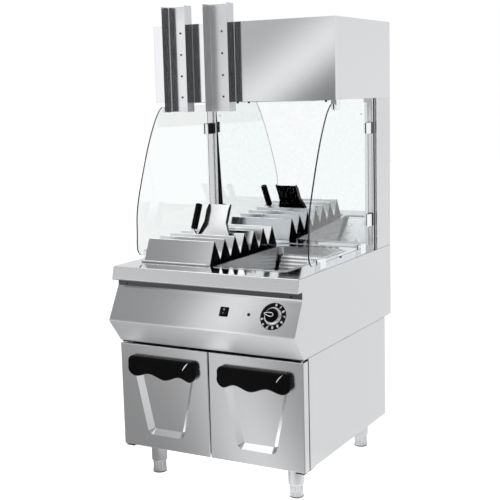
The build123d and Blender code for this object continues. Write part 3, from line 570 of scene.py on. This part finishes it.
# Nodes with a finish of their own, other than their slot's in the record.
OWN_FINISH = {
    "worktop": "worktop_sheet",
    # Painted shade: the strip in the recess under the lip takes near-black steel.
    "recess_strip": "strip_steel",
    "pan_insert": "insert_sheet",
    "scoop_blade": "scoop_steel",
    "dispensers": "channel_steel",
    "control_panel": "panel_steel",
}


def dress_nodes(made: Materials) -> None:
    """Give each node of the model its own finish or that of its slot in the record.

    Args:
        made: materials by the finishes' names.
    """
    for item in frame["record"]["subparts"]:
        node = frame["nodes"][item["node"]]
        name = "foot_steel" if item["node"].startswith("foot_") else item["material_slot"]
        node.data.materials.clear()
        node.data.materials.append(made[OWN_FINISH.get(item["node"], name)])


# Shapes


def points_of(x: float | np.ndarray, y: float | np.ndarray, z: float | np.ndarray) -> np.ndarray:
    """Points from their coordinates, of which one number stands for all points."""
    return np.stack(np.broadcast_arrays(x, y, z), axis=-1)


def circle(steps: int) -> np.ndarray:
    """Equal angles once round, in radians."""
    return np.linspace(0.0, 2.0 * np.pi, steps, endpoint=False)


def skin(rows: np.ndarray, closed: bool = False) -> Shape:
    """Skin over rows of points, each row a ring.

    Point j of row i is joined to its neighbours j + 1 and i + 1 by a quad.

    Args:
        rows: array of rows by points by coordinates.
        closed: whether the last row meets the first; otherwise both ends are capped.

    Returns:
        Points and faces.
    """
    count, columns = rows.shape[:2]
    i, j = np.meshgrid(np.arange(count if closed else count - 1), np.arange(columns),
                       indexing="ij")
    after, k = (i + 1) % count, (j + 1) % columns
    quads = np.stack([i * columns + j, i * columns + k, after * columns + k,
                      after * columns + j], axis=-1)
    faces = quads.reshape(-1, 4).tolist()
    if not closed:
        last = (count - 1) * columns
        faces += [list(range(columns))[::-1], list(range(last, last + columns))]
    return rows.reshape(-1, 3), faces


def turned(profile: Sequence[Range], steps: int = 72) -> Shape:
    """Solid of revolution: a profile point (r, h) turned by t is (r cos t, r sin t, h)."""
    (r, h), t = np.array(profile).T, circle(steps)
    return skin(points_of(np.outer(r, np.cos(t)), np.outer(r, np.sin(t)), h[:, None]))


def tube(path: np.ndarray, radius: float, sides: int = 10, closed: bool = False) -> Shape:
    """Round tube along a path.

    At a path point p with tangent q and normals m, n = q x m the ring is
    p + radius (m cos t + n sin t).

    Args:
        path: array of points.
        radius: the tube's radius.
        sides: points in each ring.
        closed: whether the path closes on itself.

    Returns:
        Points and faces.
    """
    if closed:
        run = np.roll(path, -1, axis=0) - np.roll(path, 1, axis=0)
    else:
        run = np.gradient(path, axis=0)
    run /= np.linalg.norm(run, axis=1, keepdims=True)
    steep = abs(run[:, 2]).max() >= 0.95
    m = np.cross(run, X_AXIS if steep else Z_AXIS)
    m /= np.linalg.norm(m, axis=1, keepdims=True)
    n = np.cross(run, m)
    t = circle(sides)[:, None]
    return skin(path[:, None] + radius * (m[:, None] * np.cos(t) + n[:, None] * np.sin(t)), closed)


def bar(low: Point, high: Point, edge: float) -> Shape:
    """Bar along the axes with bevelled edges.

    Its section across the longest axis is a rectangle whose corners are cut by the
    bevel's width, and each end steps in by the same width.

    Args:
        low: its least corner.
        high: its greatest corner.
        edge: the bevel's width.

    Returns:
        Points and faces.
    """
    middle = (np.array(low) + np.array(high)) / 2.0
    half = (np.array(high) - np.array(low)) / 2.0
    long = int(np.argmax(half))
    a, b = (long + 1) % 3, (long + 2) % 3
    ring = []
    for u, v in ((1, 1), (-1, 1), (-1, -1), (1, -1)):
        corner = [(u * half[a], v * (half[b] - edge)), (u * (half[a] - edge), v * half[b])]
        ring += corner if u * v > 0 else corner[::-1]
    ring = np.array(ring)
    rows = np.empty((4, len(ring), 3))
    for row, (end, shrink) in zip(rows, ((-1, edge), (-1, 0.0), (1, 0.0), (1, edge))):
        row[:, [a, b]] = ring - np.sign(ring) * shrink
        row[:, long] = end * (half[long] - (0.0 if shrink else edge))
    return skin(rows + middle)


def side_bar(side: int, x: Range, low: Range, high: Range, edge: float) -> Shape:
    """Bar on a side, -1 or 1, at distances x from the middle, low and high in (Y, Z)."""
    start, end = sorted((side * x[0], side * x[1]))
    return bar((start, *low), (end, *high), edge)


def gathered(shapes: Iterable[Shape]) -> Shape:
    """Several shapes as one.

    Args:
        shapes: the shapes.

    Returns:
        Points and faces of all.
    """
    points, faces, count = [], [], 0
    for spots, sides in shapes:
        points.append(spots)
        faces += [[count + i for i in side] for side in sides]
        count += len(spots)
    return np.concatenate(points), faces


def spun(points: np.ndarray, angle: float) -> np.ndarray:
    """Points turned anticlockwise about the local third axis, by degrees."""
    c, s = math.cos(math.radians(angle)), math.sin(math.radians(angle))
    return points @ np.array([[c, s, 0.0], [-s, c, 0.0], [0.0, 0.0, 1.0]])


@dataclass(frozen=True)
class PanelFace:
    """Outer face of the sloping control panel, as (Y, Z) in metres in the row's frame."""

    top: Range = (-0.391196, 0.782)
    crease: Range = (-0.462796, 0.6536)

    def put(self, shape: Shape, x: float, slope: float) -> Shape:
        """Move a shape from a control's own axes onto the panel.

        Local X stays X, local Y runs up the slope and local Z out of the face.

        Args:
            shape: the shape in the control's axes.
            x: the control's place across.
            slope: its distance down the slope from the panel's top.

        Returns:
            The shape in the row's frame.
        """
        points, faces = shape
        down = np.array(self.crease) - np.array(self.top)
        down /= np.linalg.norm(down)
        start = np.array([x, *(np.array(self.top) + down * slope)])
        axes = np.array([X_AXIS, (0.0, *(-down)), (0.0, down[1], -down[0])])
        return start + points @ axes, faces


# Pieces


@dataclass
class Maker:
    """Maker of pieces, with the finishes that they take."""

    made: Materials

    def piece(self, name: str, shapes: Iterable[Shape], finish: str, slot: str,
              body: str = "frame", smooth: bool = False) -> bpy.types.Object:
        """Make one piece from shapes in the row's frame.

        Args:
            name: the piece's name.
            shapes: its shapes in metres.
            finish: the name of its finish.
            slot: the record's slot for the piece; it is not used.
            body: the body that it rides on.
            smooth: whether its faces are shaded smooth.

        Returns:
            The new object.
        """
        points, faces = gathered(shapes)
        mesh = bpy.data.meshes.new(name)
        mesh.from_pydata(points.tolist(), [], faces)
        mesh.polygons.foreach_set("use_smooth", np.full(len(mesh.polygons), smooth))
        mesh.materials.append(self.made[finish])
        mesh.update()
        piece = bpy.data.objects.new(name, mesh)
        bpy.context.scene.collection.objects.link(piece)
        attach(piece, body)
        log.info("piece %s: %d faces", name, len(mesh.polygons))
        return piece


@dataclass
class Thermostat(Maker):
    """Dial with its numerals, bright skirt and black pointer knob."""

    x: float = 0.298
    slope: float = 0.070
    plate_height: float = 0.0015
    numeral_radius: float = 0.0425
    numeral_size: float = 0.0134
    numeral_weight: float = 0.0013
    numeral_depth: float = 0.00012
    first_angle: float = 6.0
    step_angle: float = 27.4
    knob_radius: float = 0.0275
    knob_height: float = 0.024
    skirt_low: float = 0.004
    skirt_share: float = 0.52
    ripples: int = 24
    ripple_depth: float = 0.012
    pointer_angle: float = 174.0
    pointer_length: float = 0.0195
    pointer_width: float = 0.0056
    pointer_shift: float = 0.0070
    # Radius of the chrome line that paints a highlight round the pointer's top.
    line_radius: float = 0.0017
    face: PanelFace = PanelFace()

    def numeral(self, text: str) -> Shape:
        """Shape of one printed character about its own middle.

        Args:
            text: the character.

        Returns:
            Points and faces.
        """
        curve = bpy.data.curves.new("numeral", "FONT")
        curve.body = text
        curve.size = self.numeral_size
        curve.offset = self.numeral_weight
        curve.extrude = self.numeral_depth
        curve.align_x = curve.align_y = "CENTER"
        curve.fill_mode = "BOTH"
        holder = bpy.data.objects.new("numeral", curve)
        bpy.context.scene.collection.objects.link(holder)
        bpy.context.view_layer.update()
        mesh = bpy.data.meshes.new_from_object(
            holder.evaluated_get(bpy.context.evaluated_depsgraph_get()))
        bpy.data.objects.remove(holder)
        flat = np.empty(len(mesh.vertices) * 3)
        mesh.vertices.foreach_get("co", flat)
        faces = [list(polygon.vertices) for polygon in mesh.polygons]
        bpy.data.meshes.remove(mesh)
        return flat.reshape(-1, 3), faces

    def numerals(self) -> None:
        """Print the numerals 0 to 9 round the dial plate."""
        for number in range(10):
            points, faces = self.numeral(str(number))
            local = spun(points + (0.0, self.numeral_radius, self.plate_height),
                         -self.first_angle - self.step_angle * number)
            self.piece(f"dial_numeral_{number}",
                       [self.face.put((local, faces), self.x, self.slope)],
                       "print_white", "dial_print")

    def on_knob(self, name: str, shape: Shape, finish: str, slot: str) -> bpy.types.Object:
        """Make one piece that turns with the knob, from a shape in the dial's own axes."""
        return self.piece(name, [self.face.put(shape, self.x, self.slope)], finish, slot,
                          body="thermostat_knob", smooth=True)

    def knob(self) -> None:
        """Knob with a bright skirt and a domed black top, in place of the plain one.

        At an angle t the rippled radius of the black side is r (1 - d cos(n t)).
        """
        r, h, low = self.knob_radius, self.knob_height, self.skirt_low
        top = h * self.skirt_share
        rim = [(r * 0.9, low), (r, low + 0.0008), (r, top - 0.0008), (r * 0.985, top),
               (r * 0.9, top)]
        self.on_knob("thermostat_knob_skirt", turned(rim), "chrome", "bright_steel")
        dome = ((0.93, 0.62), (0.9, 0.70), (0.82, 0.75), (0.6, 0.78), (0.3, 0.79))
        profile = [(r * 0.92, top - 0.001), (r * 0.97, top + 0.0002),
                   *((r * a, h * b) for a, b in dome), (0.0008, h * 0.79)]
        points, faces = turned(profile)
        t = np.arctan2(points[:, 1], points[:, 0])
        side = (points[:, 2] > top) & (points[:, 2] < h * 0.66)
        points[side, :2] *= (1.0 - self.ripple_depth * np.cos(self.ripples * t))[side, None]
        piece = self.on_knob("thermostat_knob_body", (points, faces), "black_grip", "black_grip")
        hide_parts("knob")

    def pointer(self) -> None:
        """Raised pointer, a pointed oval, with a painted highlight round its top: a thin chrome
        line.

        The outline is x = a cos t + c, y = b sin t (1.25 - 0.55 cos t), turned by the
        pointer's angle.
        """
        t = circle(64)
        x = self.pointer_length * np.cos(t) + self.pointer_shift
        y = self.pointer_width * np.sin(t) * (1.25 - 0.55 * np.cos(t))
        outline = spun(points_of(x, y, 0.0), self.pointer_angle)
        middle, h = outline.mean(axis=0), self.knob_height
        # Share of the outline and height of each ring, and last of the bright line that paints a
        # highlight.
        levels = ((1.0, h * 0.60), (1.0, h - 0.0012), (0.97, h - 0.0004), (0.90, h), (0.5, h),
                  (0.05, h), (0.93, h))
        *rings, line = (middle + (outline - middle) * share + (0.0, 0.0, height)
                        for share, height in levels)
        self.on_knob("thermostat_pointer", skin(np.array(rings)), "black_grip", "black_grip")
        # Painted highlight: a thin chrome line round the pointer's top edge.
        self.on_knob("thermostat_pointer_highlight", tube(line, self.line_radius, 8, closed=True),
                     "chrome", "bright_steel")

    def build(self) -> None:
        """Make the whole dial."""
        self.numerals()
        self.knob()
        self.pointer()


@dataclass
class PostSeals(Maker):
    """Dark pieces on the posts: strips of painted shade between the posts and the leaning back
    panel and in the posts' steps, and black shells round the clips.
    """

    inner: float = 0.348
    front: float = 0.303204
    lean: float = 2.25
    panel_foot: Range = (0.331204, 0.860)
    panel_gap: float = 0.0002
    low: float = 0.8605
    high: float = 1.4765
    thick: float = 0.0008
    step_x: Range = (0.3879, 0.3890)
    step_y: Range = (0.3095, 0.3197)
    shell_x: Range = (0.3630, 0.3888)
    shell_front: Range = (0.2620, 0.2860)
    shell_back: float = 0.3029
    shell_heights: tuple[Range, ...] = ((0.960, 1.011), (1.335, 1.381))

    def face_strips(self) -> None:
        """Strips of painted shade on the posts' inner side faces, from the front edges to the back
        panel.

        At a height z the panel is at y = y0 - (z - z0) tan(lean), so the strips
        narrow upwards.
        """
        z = np.linspace(self.low, self.high, 40)
        foot_y, foot_z = self.panel_foot
        back = foot_y - (z - foot_z) * math.tan(math.radians(self.lean)) - self.panel_gap
        for name, side in SIDES.items():
            post, free = side * self.inner, side * (self.inner - self.thick)
            corners = ((post, self.front + 0.003), (free, self.front + 0.0038), (free, back),
                       (post, back))
            points, faces = skin(np.stack([points_of(x, y, z) for x, y in corners], axis=1))
            if side < 0:
                faces = [face[::-1] for face in faces]
            # Painted shade: a dark strip where the post meets the back panel.
            self.piece(f"post_shade_{name}", [(points, faces)], "soft_seal", "soft_seal")

    def step_strips(self) -> None:
        """Dark strips of painted shade in the steps at the posts' outer front corners."""
        front, back = self.step_y
        shapes = [side_bar(side, self.step_x, (front, self.low), (back, self.high), edge=0.0003)
                  for side in SIDES.values()]
        # Painted shade in the posts' steps.
        self.piece("post_step_strips", shapes, "soft_seal", "soft_seal")

    def clip_shells(self) -> None:
        """Black shells round the back of the clips on the posts: partly the clips' black pads,
        partly painted shade in the gap between clip and post.
        """
        shapes = [side_bar(side, self.shell_x, (front, low), (self.shell_back, high), edge=0.001)
                  for side, front in zip(SIDES.values(), self.shell_front)
                  for low, high in self.shell_heights]
        self.piece("clip_shells", shapes, "black_plastic", "black_plastic")

    def build(self) -> None:
        """Make every strip and shell."""
        self.face_strips()
        self.step_strips()
        self.clip_shells()


@dataclass
class Trims(Maker):
    """Small details of the cabinet, the glasses and the dispensers: dark pieces of painted shade
    and reflection, bright pieces of painted highlight, and the glasses' stops and the rocker's
    printed marks.
    """

    # Dark strips of painted shade over the doors and beside them.
    over_doors: tuple[Point, Point] = ((-0.368, -0.3568, 0.5526), (0.368, -0.3505, 0.5606))
    beside_x: Range = (0.3983, 0.3997)
    beside_doors: tuple[Range, Range] = ((-0.3563, 0.141), (-0.3502, 0.5475))
    dispenser_x: Range = (-0.270, -0.080)
    dispenser_z: Range = (1.4425, 1.8505)
    # Painted highlight lines in the dispensers' bends: their distance from each dispenser's
    # middle, and their Y.
    fold: Range = (0.0513, -0.0835)
    screw_z: tuple[float, ...] = (1.498, 1.581, 1.665, 1.749)
    screw_face: float = -0.0848
    # Profile of the dark disc that paints the shade in each screw's drive recess.
    socket: tuple[Range, ...] = ((0.0036, 0.0), (0.0040, 0.0002), (0.0036, 0.0004),
                                 (0.0004, 0.0003))
    casing_screw: Point = (0.355, -0.3934, 0.790)
    glass_x: float = 0.376
    glass_y: Range = (-0.1735, 0.156)
    # Height of the dark tube that paints the reflection of each glass's bottom edge.
    edge_z: float = 0.8792
    stop: tuple[Range, ...] = ((-0.0022, 0.0022), (-0.0100, 0.0010), (0.8722, 0.8796))
    rocker_x: float = 0.0955
    on_mark: tuple[Point, Point] = ((0.0, -0.0725, 0.0053), (0.0, -0.0785, 0.0074))
    off_mark: Range = (-0.0617, 0.00415)
    off_radius: float = 0.0030
    grip_face: float = -0.4188
    grip_ends: Range = (-0.0461, 0.3553)
    # Path and width of the painted highlight on each grip.
    stroke_x: Point = (-0.0540, 0.016, 0.0100)
    stroke_z: Range = (0.4750, 0.0310)
    stroke_width: Range = (0.0002, 0.0021)
    face: PanelFace = PanelFace()

    def door_seals(self) -> None:
        """Dark strips of painted shade in the gaps over the doors and at the cabinet's front
        edges.
        """
        shapes = [bar(*self.over_doors, edge=0.001)]
        shapes += [side_bar(side, self.beside_x, *self.beside_doors, edge=0.0004)
                   for side in SIDES.values()]
        self.piece("door_seals", shapes, "soft_seal", "soft_seal")

    def sockets(self) -> None:
        """Dark discs of painted shade in the drive recesses of the screws on the front."""
        spots = [(x, self.screw_face, z) for x in self.dispenser_x for z in self.screw_z]
        x, y, z = self.casing_screw
        spots += [(side * x, y, z) for side in SIDES.values()]
        points, faces = turned(self.socket, steps=24)
        u, v, out = points.T
        shapes = [(points_of(u + x, y + 0.0001 - out, v + z), faces) for x, y, z in spots]
        # Painted shade: a near-black disc on each screw.
        self.piece("screw_socket_shades", shapes, "soft_seal", "bright_steel")

    def folds(self) -> None:
        """Painted highlight lines: thin chrome tubes along the bends in the dispensers' inner
        corners.
        """
        z = np.linspace(*self.dispenser_z, 30)
        out, y = self.fold
        shapes = [tube(points_of(x + side * out, y, z), radius=0.0008)
                  for x in self.dispenser_x for side in SIDES.values()]
        self.piece("dispenser_fold_highlights", shapes, "chrome", "brushed_steel", smooth=True)

    def glass_edges(self) -> None:
        """Dark tube of painted reflection along the ground edge under each side glass, between its
        two clips, with its stop.
        """
        y = np.linspace(*self.glass_y, 40)
        shapes = []
        for side in SIDES.values():
            x = side * self.glass_x
            # Painted reflection: a near-black tube along the glass's bottom edge.
            shapes.append(tube(points_of(x, y, self.edge_z), radius=0.0010))
            low, high = np.array(self.stop).T + (x, 0.0, 0.0)
            shapes.append(bar(low, high, edge=0.0006))
        self.piece("glass_edges", shapes, "soft_seal", "side_glass")

    def rocker_marks(self) -> None:
        """White on and off marks on the rocker's two facets."""
        t, (y, z) = circle(24), self.off_mark
        ring = points_of(self.off_radius * np.cos(t), self.off_radius * np.sin(t) + y, z)
        marks = (tube(ring, 0.0006, 8, closed=True), tube(np.array(self.on_mark), 0.0007, 8))
        self.piece("rocker_marks", [self.face.put(mark, self.rocker_x, 0.0) for mark in marks],
                   "print_white", "black_plastic", body="rocker", smooth=True)

    def grip_strokes(self) -> None:
        """Painted highlight near the right end of each grip: a thin bright chrome sliver.

        From the grip's end it follows x = a + b s + c s^2 and z = d + e s, and it is
        widest in its middle.
        """
        (a, b, c), (d, e), (least, swell) = self.stroke_x, self.stroke_z, self.stroke_width
        s = np.linspace(0.0, 1.0, 24)
        wide = swell * np.sin(np.pi * (s * 0.86 + 0.10)) + least
        section = ((-1.0, 0.0), (-0.6, 0.0006), (0.6, 0.0006), (1.0, 0.0), (0.6, -0.0004),
                   (-0.6, -0.0004))
        for name, right in zip(SIDES, self.grip_ends):
            # Painted highlight: a chrome sliver where a reflection falls on the grip.
            x = right + a + b * s + c * s * s
            z = d + e * s
            rows = [points_of(x + across * wide, self.grip_face - out, z - across * wide * 0.5)
                    for across, out in section]
            self.piece(f"grip_highlight_{name}", [skin(np.stack(rows, axis=1))], "chrome",
                       "bright_steel", body=f"door_{name}", smooth=True)

    def build(self) -> None:
        """Make every trim."""
        self.door_seals()
        self.sockets()
        self.folds()
        self.glass_edges()
        self.rocker_marks()
        self.grip_strokes()


# Studio


# Ray depth between a first reflection's and a double one's.
FIRST_ONLY = 1.5


def stage_sheet(finish: Finish, corners: Sequence[Point], name: str) -> bpy.types.Object:
    """Add one flat sheet to the studio.

    Args:
        finish: its finish.
        corners: its four corners.
        name: its name.

    Returns:
        The new object.
    """
    mesh = bpy.data.meshes.new(name)
    mesh.from_pydata(list(corners), [], [(0, 1, 2, 3)])
    mesh.materials.append(finish.make())
    sheet = bpy.data.objects.new(name, mesh)
    bpy.context.scene.collection.objects.link(sheet)
    return sheet


def upright(start: Range, end: Range, heights: Range) -> tuple[Point, ...]:
    """Corners of an upright sheet between two points (X, Y) and two heights."""
    low, high = heights
    return (*start, low), (*end, low), (*end, high), (*start, high)


@dataclass(frozen=True)
class FloorFinish(Finish):
    """Plain pale floor that keeps the object's shadow.

    Camera and transmitted rays see it nearly white. In reflections it has a level of
    its own: grey in front, brighter far away and behind, with one soft band across. In
    double reflections it is much brighter close to the object.
    """

    across: Point = (0.815, -0.58, 0.0)
    behind: Point = (0.5, 1.0, 0.0)
    grey: float = 0.36
    band: float = 0.62
    double: float = 2.6
    double_band: float = 1.2

    def draw(self, sketch: MaterialSketch) -> None:
        """Matt floor with an emission for each kind of ray.

        Args:
            sketch: its nodes.
        """
        calc, span, times, plus = sketch.calc, sketch.span, sketch.times, sketch.plus
        tone = span(sketch.noise(2.0, detail=2.0), *UNIT)
        sketch.shade({"Base Color": sketch.blend(tone, shaded(WHITE, 0.78), shaded(WHITE, 0.80)),
                      "Roughness": 0.7, "Specular IOR Level": 0.2})
        shiny, across = sketch.ray("Is Glossy Ray"), sketch.along(self.across)
        far = sketch.add("ShaderNodeVectorMath", {0: sketch.spot}, out="Value",
                         operation="LENGTH")

        away = span(far, 0.0, 0.64, source=(2.9, 4.9))
        back = span(sketch.along(self.behind), 0.0, 0.62, source=(-0.6, 0.6))
        lift = calc("MAXIMUM", away, back)
        band = times(sketch.bell(across, middle=0.445, width=0.20), self.band,
                     span(lift, 1.0, 0.0, source=(0.25, 0.6)))
        plain = plus(lift, self.grey, band)

        under = times(sketch.bell(across, middle=0.12, width=0.26), self.double_band)
        close = times(calc("GREATER_THAN", sketch.ray("Ray Depth"), FIRST_ONLY),
                      span(far, 1.0, 0.0, source=(1.0, 1.6)))
        level = plus(plain, times(plus(under, self.double), close))

        direct = times(sketch.seen(), calc("SUBTRACT", 1.0, shiny),
                       span(far, 0.55, 0.75, source=(2.0, 6.0)))
        glow = sketch.glow(plus(times(shiny, level), direct))
        dull = sketch.layer(shiny, sketch.shader, sketch.glow(0.0))
        sketch.show(sketch.add("ShaderNodeAddShader", {0: dull, 1: glow}))


@dataclass(frozen=True)
class Card(Finish):
    """Studio card that only reflections see, with a soft bright band.

    Across the band its level goes from low to high, and at a point p the band adds
    band exp(-((p . run - middle) / width)^2). Only double reflections see a double
    card, and only first ones the others. A fade is a soft border: its direction, where
    the card is still whole along it, and where it is gone.
    """

    corners: Sequence[Point]
    low: float
    high: float
    band: float = 0.0
    run: Point = X_AXIS
    middle: float = 0.0
    width: float = 0.1
    double: bool = False
    fades: Sequence[tuple[Point, float, float]] = ()

    def draw(self, sketch: MaterialSketch) -> None:
        """Emission with the band, and clear where the card isn't seen.

        Args:
            sketch: its nodes.
        """
        across = sketch.along(self.run)
        band = sketch.times(sketch.bell(across, self.middle, self.width), self.band)
        base = sketch.span(across, self.low, self.high,
                           (self.middle - self.width, self.middle + self.width))
        if self.double:
            through = sketch.calc("LESS_THAN", sketch.ray("Glossy Depth"), FIRST_ONLY)
        else:
            through = sketch.calc("GREATER_THAN", sketch.ray("Ray Depth"), FIRST_ONLY)
        for way, whole, gone in self.fades:
            border = sketch.span(sketch.along(way), *UNIT, (whole, gone))
            through = sketch.calc("MAXIMUM", through, border)
        glow = sketch.glow(sketch.plus(band, base), COOL_WHITE)
        clear = sketch.add("ShaderNodeBsdfTransparent")
        sketch.show(sketch.layer(through, glow, clear))

    def stand(self) -> None:
        """Stand the card in the studio."""
        sheet = stage_sheet(self, self.corners, self.name)
        sheet.visible_camera = sheet.visible_diffuse = False
        sheet.visible_transmission = sheet.visible_shadow = False


@dataclass(frozen=True)
class Lamp:
    """Soft rectangular lamp that faces a target point, turned about its own axis.

    The power is level x pi x area, so that a mirror shows the lamp at that level,
    where 1 is white. The turn is in degrees.
    """

    name: str
    place: Point
    target: Point
    size: Range
    level: float
    turn: float = 0.0

    def hang(self) -> None:
        """Hang the lamp in the studio."""
        data = bpy.data.lights.new(self.name, "AREA")
        data.shape = "RECTANGLE"
        data.size, data.size_y = self.size
        data.energy = self.level * math.pi * data.size * data.size_y
        lamp = bpy.data.objects.new(self.name, data)
        aim = (Vector(self.target) - Vector(self.place)).to_track_quat("-Z", "Y")
        spin = Matrix.Rotation(math.radians(self.turn), 4, "Z")
        lamp.matrix_world = Matrix.Translation(self.place) @ aim.to_matrix().to_4x4() @ spin
        lamp.visible_camera = False
        bpy.context.scene.collection.objects.link(lamp)


@dataclass(frozen=True)
class Studio:
    """Floor, lamps, world and camera of a plain product photograph."""

    azimuth: float = 29.008
    elevation: float = 8.843
    roll: float = -1.438
    focal: float = 1035.18
    photo_width: float = 500.0
    sensor: float = 36.0
    eye: Point = (1.98329, -3.62220, 1.52505)
    floor_half: float = 16.0
    floor_z: float = -0.0004
    far_right: Point = (0.62, 0.78, 0.0)
    sky: tuple[Range, ...] = ((0.0, 1.0), (0.12, 0.95), (0.42, 0.36), (1.0, 0.62))
    lamps: tuple[Lamp, ...] = (
        Lamp("panel_light", (-1.12, -2.00, 2.30), (0.1, -0.4, 0.75), (0.32, 0.7), 0.95, -8.0),
        Lamp("side_light", (3.2, 1.2, 1.4), (0.3, 0.2, 0.9), (2.4, 2.4), 0.3),
        Lamp("top_light", (-0.9, -0.2, 4.0), (-0.2, 0.0, 1.0), (3.6, 3.0), 1.5))

    def camera(self) -> None:
        """Place the camera at the photograph's viewing angle.

        With azimuth a and elevation e the axis that points back is
        (sin a cos e, -cos a cos e, sin e); the roll turns right and up about it. The
        focal length is in pixels.
        """
        a, e, r = (math.radians(v) for v in (self.azimuth, self.elevation, self.roll))
        back = Vector((math.sin(a) * math.cos(e), -math.cos(a) * math.cos(e), math.sin(e)))
        right = Vector((math.cos(a), math.sin(a), 0.0))
        up = back.cross(right)
        axes = (right * math.cos(r) + up * math.sin(r), up * math.cos(r) - right * math.sin(r),
                back)
        data = bpy.data.cameras.new("camera")
        data.sensor_width = self.sensor
        data.lens = self.focal / self.photo_width * self.sensor
        data.clip_end = 60.0
        camera = bpy.data.objects.new("camera", data)
        camera.matrix_world = Matrix.Translation(self.eye) @ Matrix(axes).transposed().to_4x4()
        bpy.context.scene.collection.objects.link(camera)
        bpy.context.scene.camera = camera

    def floor(self) -> None:
        """Lay the floor, a little under the feet."""
        half, z = self.floor_half, self.floor_z
        corners = ((-half, -half, z), (half, -half, z), (half, half, z), (-half, half, z))
        stage_sheet(FloorFinish("studio_floor"), corners, "floor")

    def world(self) -> None:
        """Light the object softly from all round, white behind it.

        In reflections the level falls from white at the horizon to grey, rises a
        little again overhead, and is 2 % less towards the back on the right.
        """
        world = bpy.data.worlds.new("studio")
        sketch = NodeSketch(world, "ShaderNodeOutputWorld", "Generated")
        ramp = sketch.add("ShaderNodeValToRGB", {0: sketch.along(Z_AXIS)})
        ramp.node.color_ramp.interpolation = "EASE"
        spots = ramp.node.color_ramp.elements
        while len(spots) < len(self.sky):
            spots.new(0.5)
        for spot, (position, level) in zip(spots, self.sky):
            spot.position = position
            spot.color = (*shaded(COOL_WHITE, level), 1.0)
        strength = sketch.span(sketch.along(self.far_right), 1.0, 0.98, UNIT)
        soft = sketch.add("ShaderNodeBackground", {"Color": ramp, "Strength": strength})
        white = sketch.add("ShaderNodeBackground", {"Color": WHITE})
        sketch.show(sketch.layer(sketch.seen(), soft, white))
        bpy.context.scene.world = world

    def cards(self) -> None:
        """Stand the cards: two before the hood, and a dark one where the camera is."""
        y, heights, left, seam, right = -0.55, (1.40, 1.92), -0.95, -0.285, 0.34
        soft = [(Z_AXIS, 1.450, heights[0]), (Z_AXIS, 1.82, heights[1])]
        Card("hood_card", upright((seam, y), (right, y), heights), low=0.58, high=0.26,
             band=0.64, run=(0.56, 0.0, -0.829), middle=-1.331, width=0.115,
             fades=[*soft, (X_AXIS, 0.20, right)]).stand()
        Card("hood_card_left", upright((left, y), (seam, y), heights), low=1.28, high=1.28,
             fades=[*soft, (X_AXIS, -0.75, left)]).stand()
        middle = np.array(self.eye[:2]) + (0.07, -0.13)
        turn = math.radians(28.7)
        half = 0.5 * np.array([math.cos(turn), math.sin(turn)])
        Card("camera_card", upright(middle - half, middle + half, (0.9, 2.5)), low=0.03,
             high=0.03, double=True).stand()

    def build(self) -> None:
        """Set up the whole studio."""
        self.camera()
        self.floor()
        self.world()
        self.cards()
        for lamp in self.lamps:
            lamp.hang()
        bpy.context.scene.view_settings.view_transform = "Standard"


def main() -> None:
    """Dress the model, add its pieces and light it."""
    logging.basicConfig(level=logging.INFO, format="%(message)s")
    made = {finish.name: finish.make() for finish in FINISHES}
    dress_nodes(made)
    Thermostat(made).build()
    PostSeals(made).build()
    Trims(made).build()
    Studio().build()


if __name__ == "__main__":
    main()
